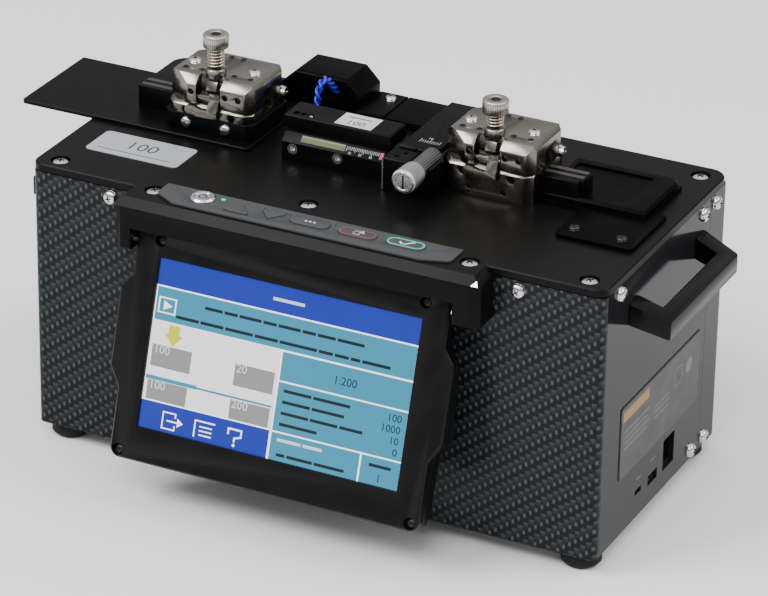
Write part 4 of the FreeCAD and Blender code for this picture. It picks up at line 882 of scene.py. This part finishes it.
pad_lines = track("key_fn", -0.25, 0.25)
for node in ("key_up", "key_down"):
    (x0, y0, _), (x1, y1, _) = about(node)
    x0, x1, y0, y1 = x0 - 0.5, x1 + 0.5, y0 - 0.4, y1 + 0.5
    base_y, tip_y = (y0, y1) if node == "key_up" else (y1, y0)
    pad_lines += stroke([(x0, base_y), (x1, base_y), ((x0 + x1) / 2, tip_y)], 0.3, True)
pad_lines += [disc(-9.3, -55.5, 0.45, 12), disc(9.3, -55.3, 0.45, 12)]
marks("keypad_lines", "keypad_plate", pad_lines, level_plane(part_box("keypad_plate")[1].z), black_print)

# generic power sign on the round button
x, y = centre_of("power_button")
power = stroke(arc(x, y, 1.45, 1.45, 2.2, 0.42, 13), 0.42) + stroke([(x, y + 0.3), (x, y + 1.9)], 0.42)
key_mark("power_button", "sign", power, black_print)

# ---------------------------------------------------------------- micrometer: flutes, and the slot as painted shade
(th_x0, th_y0, th_z0), (th_x1, th_y1, th_z1) = about("micrometer_thimble")
thimble_r = (th_x1 - th_x0) / 2
RIM_IN = 0.5                            # the end face starts this far in from the grip's radius
BORE_R = 3.9
END_SINK = 0.25                         # the middle of the end face lies this deep
THIMBLE_SIDES = 96


def thimble_piece(name, profile, material, stands):
    """profile is (radius, y) in millimetres about the micrometer's axis."""
    bm = bmesh.new()
    axis = Matrix.Translation(Vector((mic_axis.x, MIDDLE.y, mic_axis.z))) @ Matrix.Rotation(math.pi, 4, "Z")
    add_turned(bm, profile, axis @ turned_onto(ACROSS) @ Matrix.Scale(-1, 4, UP), THIMBLE_SIDES)
    bmesh.ops.recalc_face_normals(bm, faces=bm.faces)
    piece(name, mesh_from(name, bm), material, "micrometer_thimble", stands)


grip_line = [(thimble_r - RIM_IN, th_y0 + RIM_IN), (thimble_r, th_y0 + 0.9), (thimble_r, th_y1 - 3.2),
             (thimble_r - 0.25, th_y1 - 3.0), (thimble_r - 0.25, th_y1 - 0.3), (thimble_r - 0.6, th_y1),
             (BORE_R, th_y1)]
end_line = [(0.0, th_y0 + END_SINK), (2.9, th_y0 + END_SINK), (3.1, th_y0 + 0.02), (3.9, th_y0),
            (thimble_r - RIM_IN, th_y0 + RIM_IN)]
thimble_piece("thimble_grip", grip_line, thimble_metal, True)
thimble_piece("thimble_end", end_line, plain_metal, False)
end_face = plane(at((th_x0 + th_x1) / 2, th_y0 + END_SINK, (th_z0 + th_z1) / 2), ALONG, UP)
# the slot in the end face is a dark strip of painted shade
marks("thimble_slot_shade", "micrometer_thimble", [rect(-0.35, 0.35, -2.7, 2.7)], end_face, painted_hole_shade)

# ---------------------------------------------------------------- scales, label and small trim
# ruler on the rail's sloping face
BEVEL = 3.2
FACE = BEVEL * math.sqrt(2)             # length of the sloping face
RULE_STEP = 0.7
(rail_x0, rail_y0, _), (_, _, rail_z1) = about("ruler_rail")
slope = plane(at(rail_x0, rail_y0, rail_z1 - BEVEL), ALONG, (0, 1, 1))
marks("ruler_lime", "ruler_rail", [rect(7.5, 26.0, 1.2, FACE - 0.7)], slope, scale_lime)
marks("ruler_red", "ruler_rail", [rect(40.5, 42.0, 1.0, FACE - 0.9)], slope, scale_red)
ticks = [rect(26.6 + RULE_STEP * k, 26.78 + RULE_STEP * k, FACE - (2.4 if k % 5 else 3.0), FACE - 1.0)
         for k in range(20)]
ticks += [rect(8.0 + RULE_STEP * k, 8.16 + RULE_STEP * k, FACE - 1.5, FACE - 0.8) for k in range(26)]
marks("ruler_ticks", "ruler_rail", ticks, slope, scale_white, 0.02, 2 * PRINT)
for k, text in enumerate(("10", "20", "30")):
    writing(f"ruler_number_{k + 1}", "ruler_rail", text, 1.4, slope, 27.5 + 4.4 * k, 0.5, scale_white)

# number label and a small screw on the stop bar
LABEL_TOP = -0.1                        # the label lies this far under the highest point of the bar
(bar_x0, bar_y0, _), (_, _, bar_z1) = about("stop_bar")
bar_plane = plane(at(bar_x0, bar_y0, bar_z1), ALONG, ACROSS)
marks("bar_label", "stop_bar", [rect(20.6, 36.0, 1.2, 12.0)], bar_plane, label_paper, -0.19, LABEL_TOP)
writing("bar_number", "stop_bar", "100", 5.2, bar_plane, 28.3, 2.6, faint_ink, LABEL_TOP,
        LABEL_TOP + PRINT, "CENTER")
marks("bar_label_line", "stop_bar", [rect(23.5, 33.0, 8.6, 9.3)], bar_plane, faint_ink, LABEL_TOP,
      LABEL_TOP + PRINT)
tiny = bmesh.new()
add_screw(tiny, at(bar_x0 + 10.1, bar_y0 + 2.8, bar_z1 - 1.2), UP, 2.0, 1.1, 0.3)
piece("bar_screw", mesh_from("bar_screw", tiny, True), looks["steel"], "stop_bar")

# engraved scale on the arm and the polished edge of the yoke
(arm_x0, arm_y0, arm_z0), (_, _, arm_z1) = about("micrometer_bracket")
arm_plane = plane(at(16.5, 0.0, arm_z1), ALONG, ACROSS)
arm_ticks = [rect(k - 0.12, k + 0.12, -1.2, 0.9 if k % 4 else 1.7) for k in range(9)]
marks("arm_scale", "micrometer_bracket", arm_ticks, arm_plane, scale_white)
writing("arm_number", "micrometer_bracket", "10", 2.0, arm_plane, 2.0, 2.2, scale_white)
yoke_plane = plane(at(arm_x0, arm_y0, arm_z0), ALONG, UP)
marks("yoke_edge", "micrometer_bracket", [rect(0.0, 0.55, 0.4, 13.1)], yoke_plane, polished)

# pale ground tops of the fibre guides
for side in ("left", "right"):
    (gx0, _, _), (gx1, gy1, gz1) = about(side + "_fibre_guide")
    strips = [rect(0.8, gx1 - gx0 - 0.8, -3.1, -0.9), rect(0.8, gx1 - gx0 - 0.8, -7.3, -5.2)]
    marks(side + "_guide_top", side + "_fibre_guide", strips, plane(at(gx0, gy1, gz1), ALONG, ACROSS),
          guide_grey)

# painted highlight: a small bright metal triangle at the right corner of the deck's front bevel, where the
# black bevel catches the light
corner = plane(at(71.0, about("monitor_bracket")[0][1], DECK - 3.0), ALONG, (0, 1, 1))
marks("corner_painted_highlight", "deck_plate", [[(0.2, 0.1), (3.0, 0.1), (1.9, 2.5)]], corner, polished)

# ---------------------------------------------------------------- prints on the plates and the side
(name_x0, name_y0, _), (name_x1, _, name_z1) = about("nameplate")
name_plane = plane(at(name_x0, name_y0, name_z1), ALONG, ACROSS)
writing("plate_number", "nameplate", "100", 9.0, name_plane, (name_x1 - name_x0) / 2, 7.2, faint_ink,
        spread="CENTER")
marks("plate_line", "nameplate", [rect(4.0, 35.5, 3.2, 3.7)], name_plane, faint_ink)

LINE_H, LINE_STEP = 0.8, 2.4            # bars for the label's lines, and from line to line
(_, lab_y0, lab_z0), (lab_x1, lab_y1, lab_z1) = about("rating_label")
lab_plane = plane(at(lab_x1, lab_y0, lab_z0), ACROSS, UP)
lab_w, lab_h = lab_y1 - lab_y0, lab_z1 - lab_z0
side_marks = []
for row in range(4):
    side_marks += word_bars(4.0, 27.0 - 2.0 * (row % 2), lab_h - 11.5 - LINE_STEP * row, LINE_H,
                            (4, 3, 6, 2, 5))
for row in range(3):
    side_marks += word_bars(32.0, 46.0, lab_h - 14.0 - LINE_STEP * row, LINE_H, (5, 3, 4))
side_marks += stroke([(51.0, 16.0), (58.0, 16.0), (58.0, 23.0), (51.0, 23.0)], 0.5, True)
side_marks += [disc(64.5, 19.5, 3.2)]
marks("rating_print", "rating_label", side_marks, lab_plane, print_grey)
marks("rating_patch", "rating_label", [rect(2.0, 26.0, lab_h - 6.6, lab_h - 2.4)], lab_plane, print_orange)
marks("rating_edge", "rating_label",
      stroke([(0.4, 0.4), (0.4, lab_h - 0.4), (lab_w - 0.4, lab_h - 0.4)], 0.5), lab_plane, black_print)
side_plane = plane(at(about("side_panel_right")[1][0], 0, 0), ACROSS, UP)
port_signs = [rect(-20.5, -16.6, 22.5, 23.1), rect(-7.4, -2.6, 24.0, 24.6), rect(8.3, 11.9, 30.4, 31.0)]
port_signs += stroke([(13.2, 29.9), (14.6, 31.5)], 0.5)
marks("port_signs", "side_panel_right", port_signs, side_plane, print_grey)

# ---------------------------------------------------------------- stage
backdrop, t, s = tree_of("pale_paper")
paper = mix(t, noise(t, place_in(t), 3.0), (0.80, 0.80, 0.80), (0.84, 0.84, 0.84))
t.links.new(paper, s.inputs["Base Color"])
s.inputs["Roughness"].default_value = 0.9
s.inputs["Specular IOR Level"].default_value = 0.1
bpy.ops.mesh.primitive_plane_add(size=14, location=(0, 2.0, -0.0005))
floor = bpy.context.object
floor.name = "paper_floor"
floor.data.materials.append(backdrop)

# the sky grows brighter from the horizon upwards
world = bpy.data.worlds.new("studio")
bpy.context.scene.world = world
world.use_nodes = True
sky = world.node_tree
height = sky.nodes.new("ShaderNodeSeparateXYZ")
sky.links.new(sky.nodes.new("ShaderNodeTexCoord").outputs["Generated"], height.inputs[0])
shine = sky.nodes["Background"]
sky.links.new(remap(sky, height.outputs[2], 0.22, 1.3, 0.05, 0.95), shine.inputs["Strength"])
shine.inputs["Color"].default_value = (1.0, 1.0, 1.0, 1.0)


def lamp(name, where, aim, size, power):
    data = bpy.data.lights.new(name, "AREA")
    data.shape = "RECTANGLE"
    data.size, data.size_y = size
    data.energy = power
    obj = bpy.data.objects.new(name, data)
    bpy.context.scene.collection.objects.link(obj)
    obj.location = where
    obj.rotation_euler = (Vector(where) - Vector(aim)).to_track_quat("Z", "Y").to_euler()
    return obj


lamps = [lamp("key_light", (-0.9, -1.0, 1.5), (0, 0, 0.08), (0.9, 0.9), 30),
         lamp("right_light", (1.7, 0.5, 1.5), (0.3, 0.2, 0.0), (1.4, 1.4), 24),
         lamp("front_light", (0.4, -1.6, 1.9), (0.1, -0.5, 0.0), (1.2, 0.8), 30)]

# ---------------------------------------------------------------- camera
YAW, PITCH, ROLL = math.radians(26.012), math.radians(26.359), math.radians(0.9225)
CAMERA_AT = Vector((0.6379, -1.27014, 0.7712))
back = Vector((math.sin(YAW) * math.cos(PITCH), -math.cos(YAW) * math.cos(PITCH), math.sin(PITCH)))
level_right = (-back).cross(Vector(UP)).normalized()
level_up = level_right.cross(-back)
right = level_right * math.cos(ROLL) + level_up * math.sin(ROLL)
up = level_up * math.cos(ROLL) - level_right * math.sin(ROLL)
cam_data = bpy.data.cameras.new("photo_camera")
cam_data.lens = 195.7
cam_data.sensor_width = 36.0
cam_data.clip_end = 50
cam = bpy.data.objects.new("photo_camera", cam_data)
bpy.context.scene.collection.objects.link(cam)
pose = Matrix((right, up, back)).transposed().to_4x4()
pose.translation = CAMERA_AT
cam.matrix_world = pose
bpy.context.scene.camera = cam
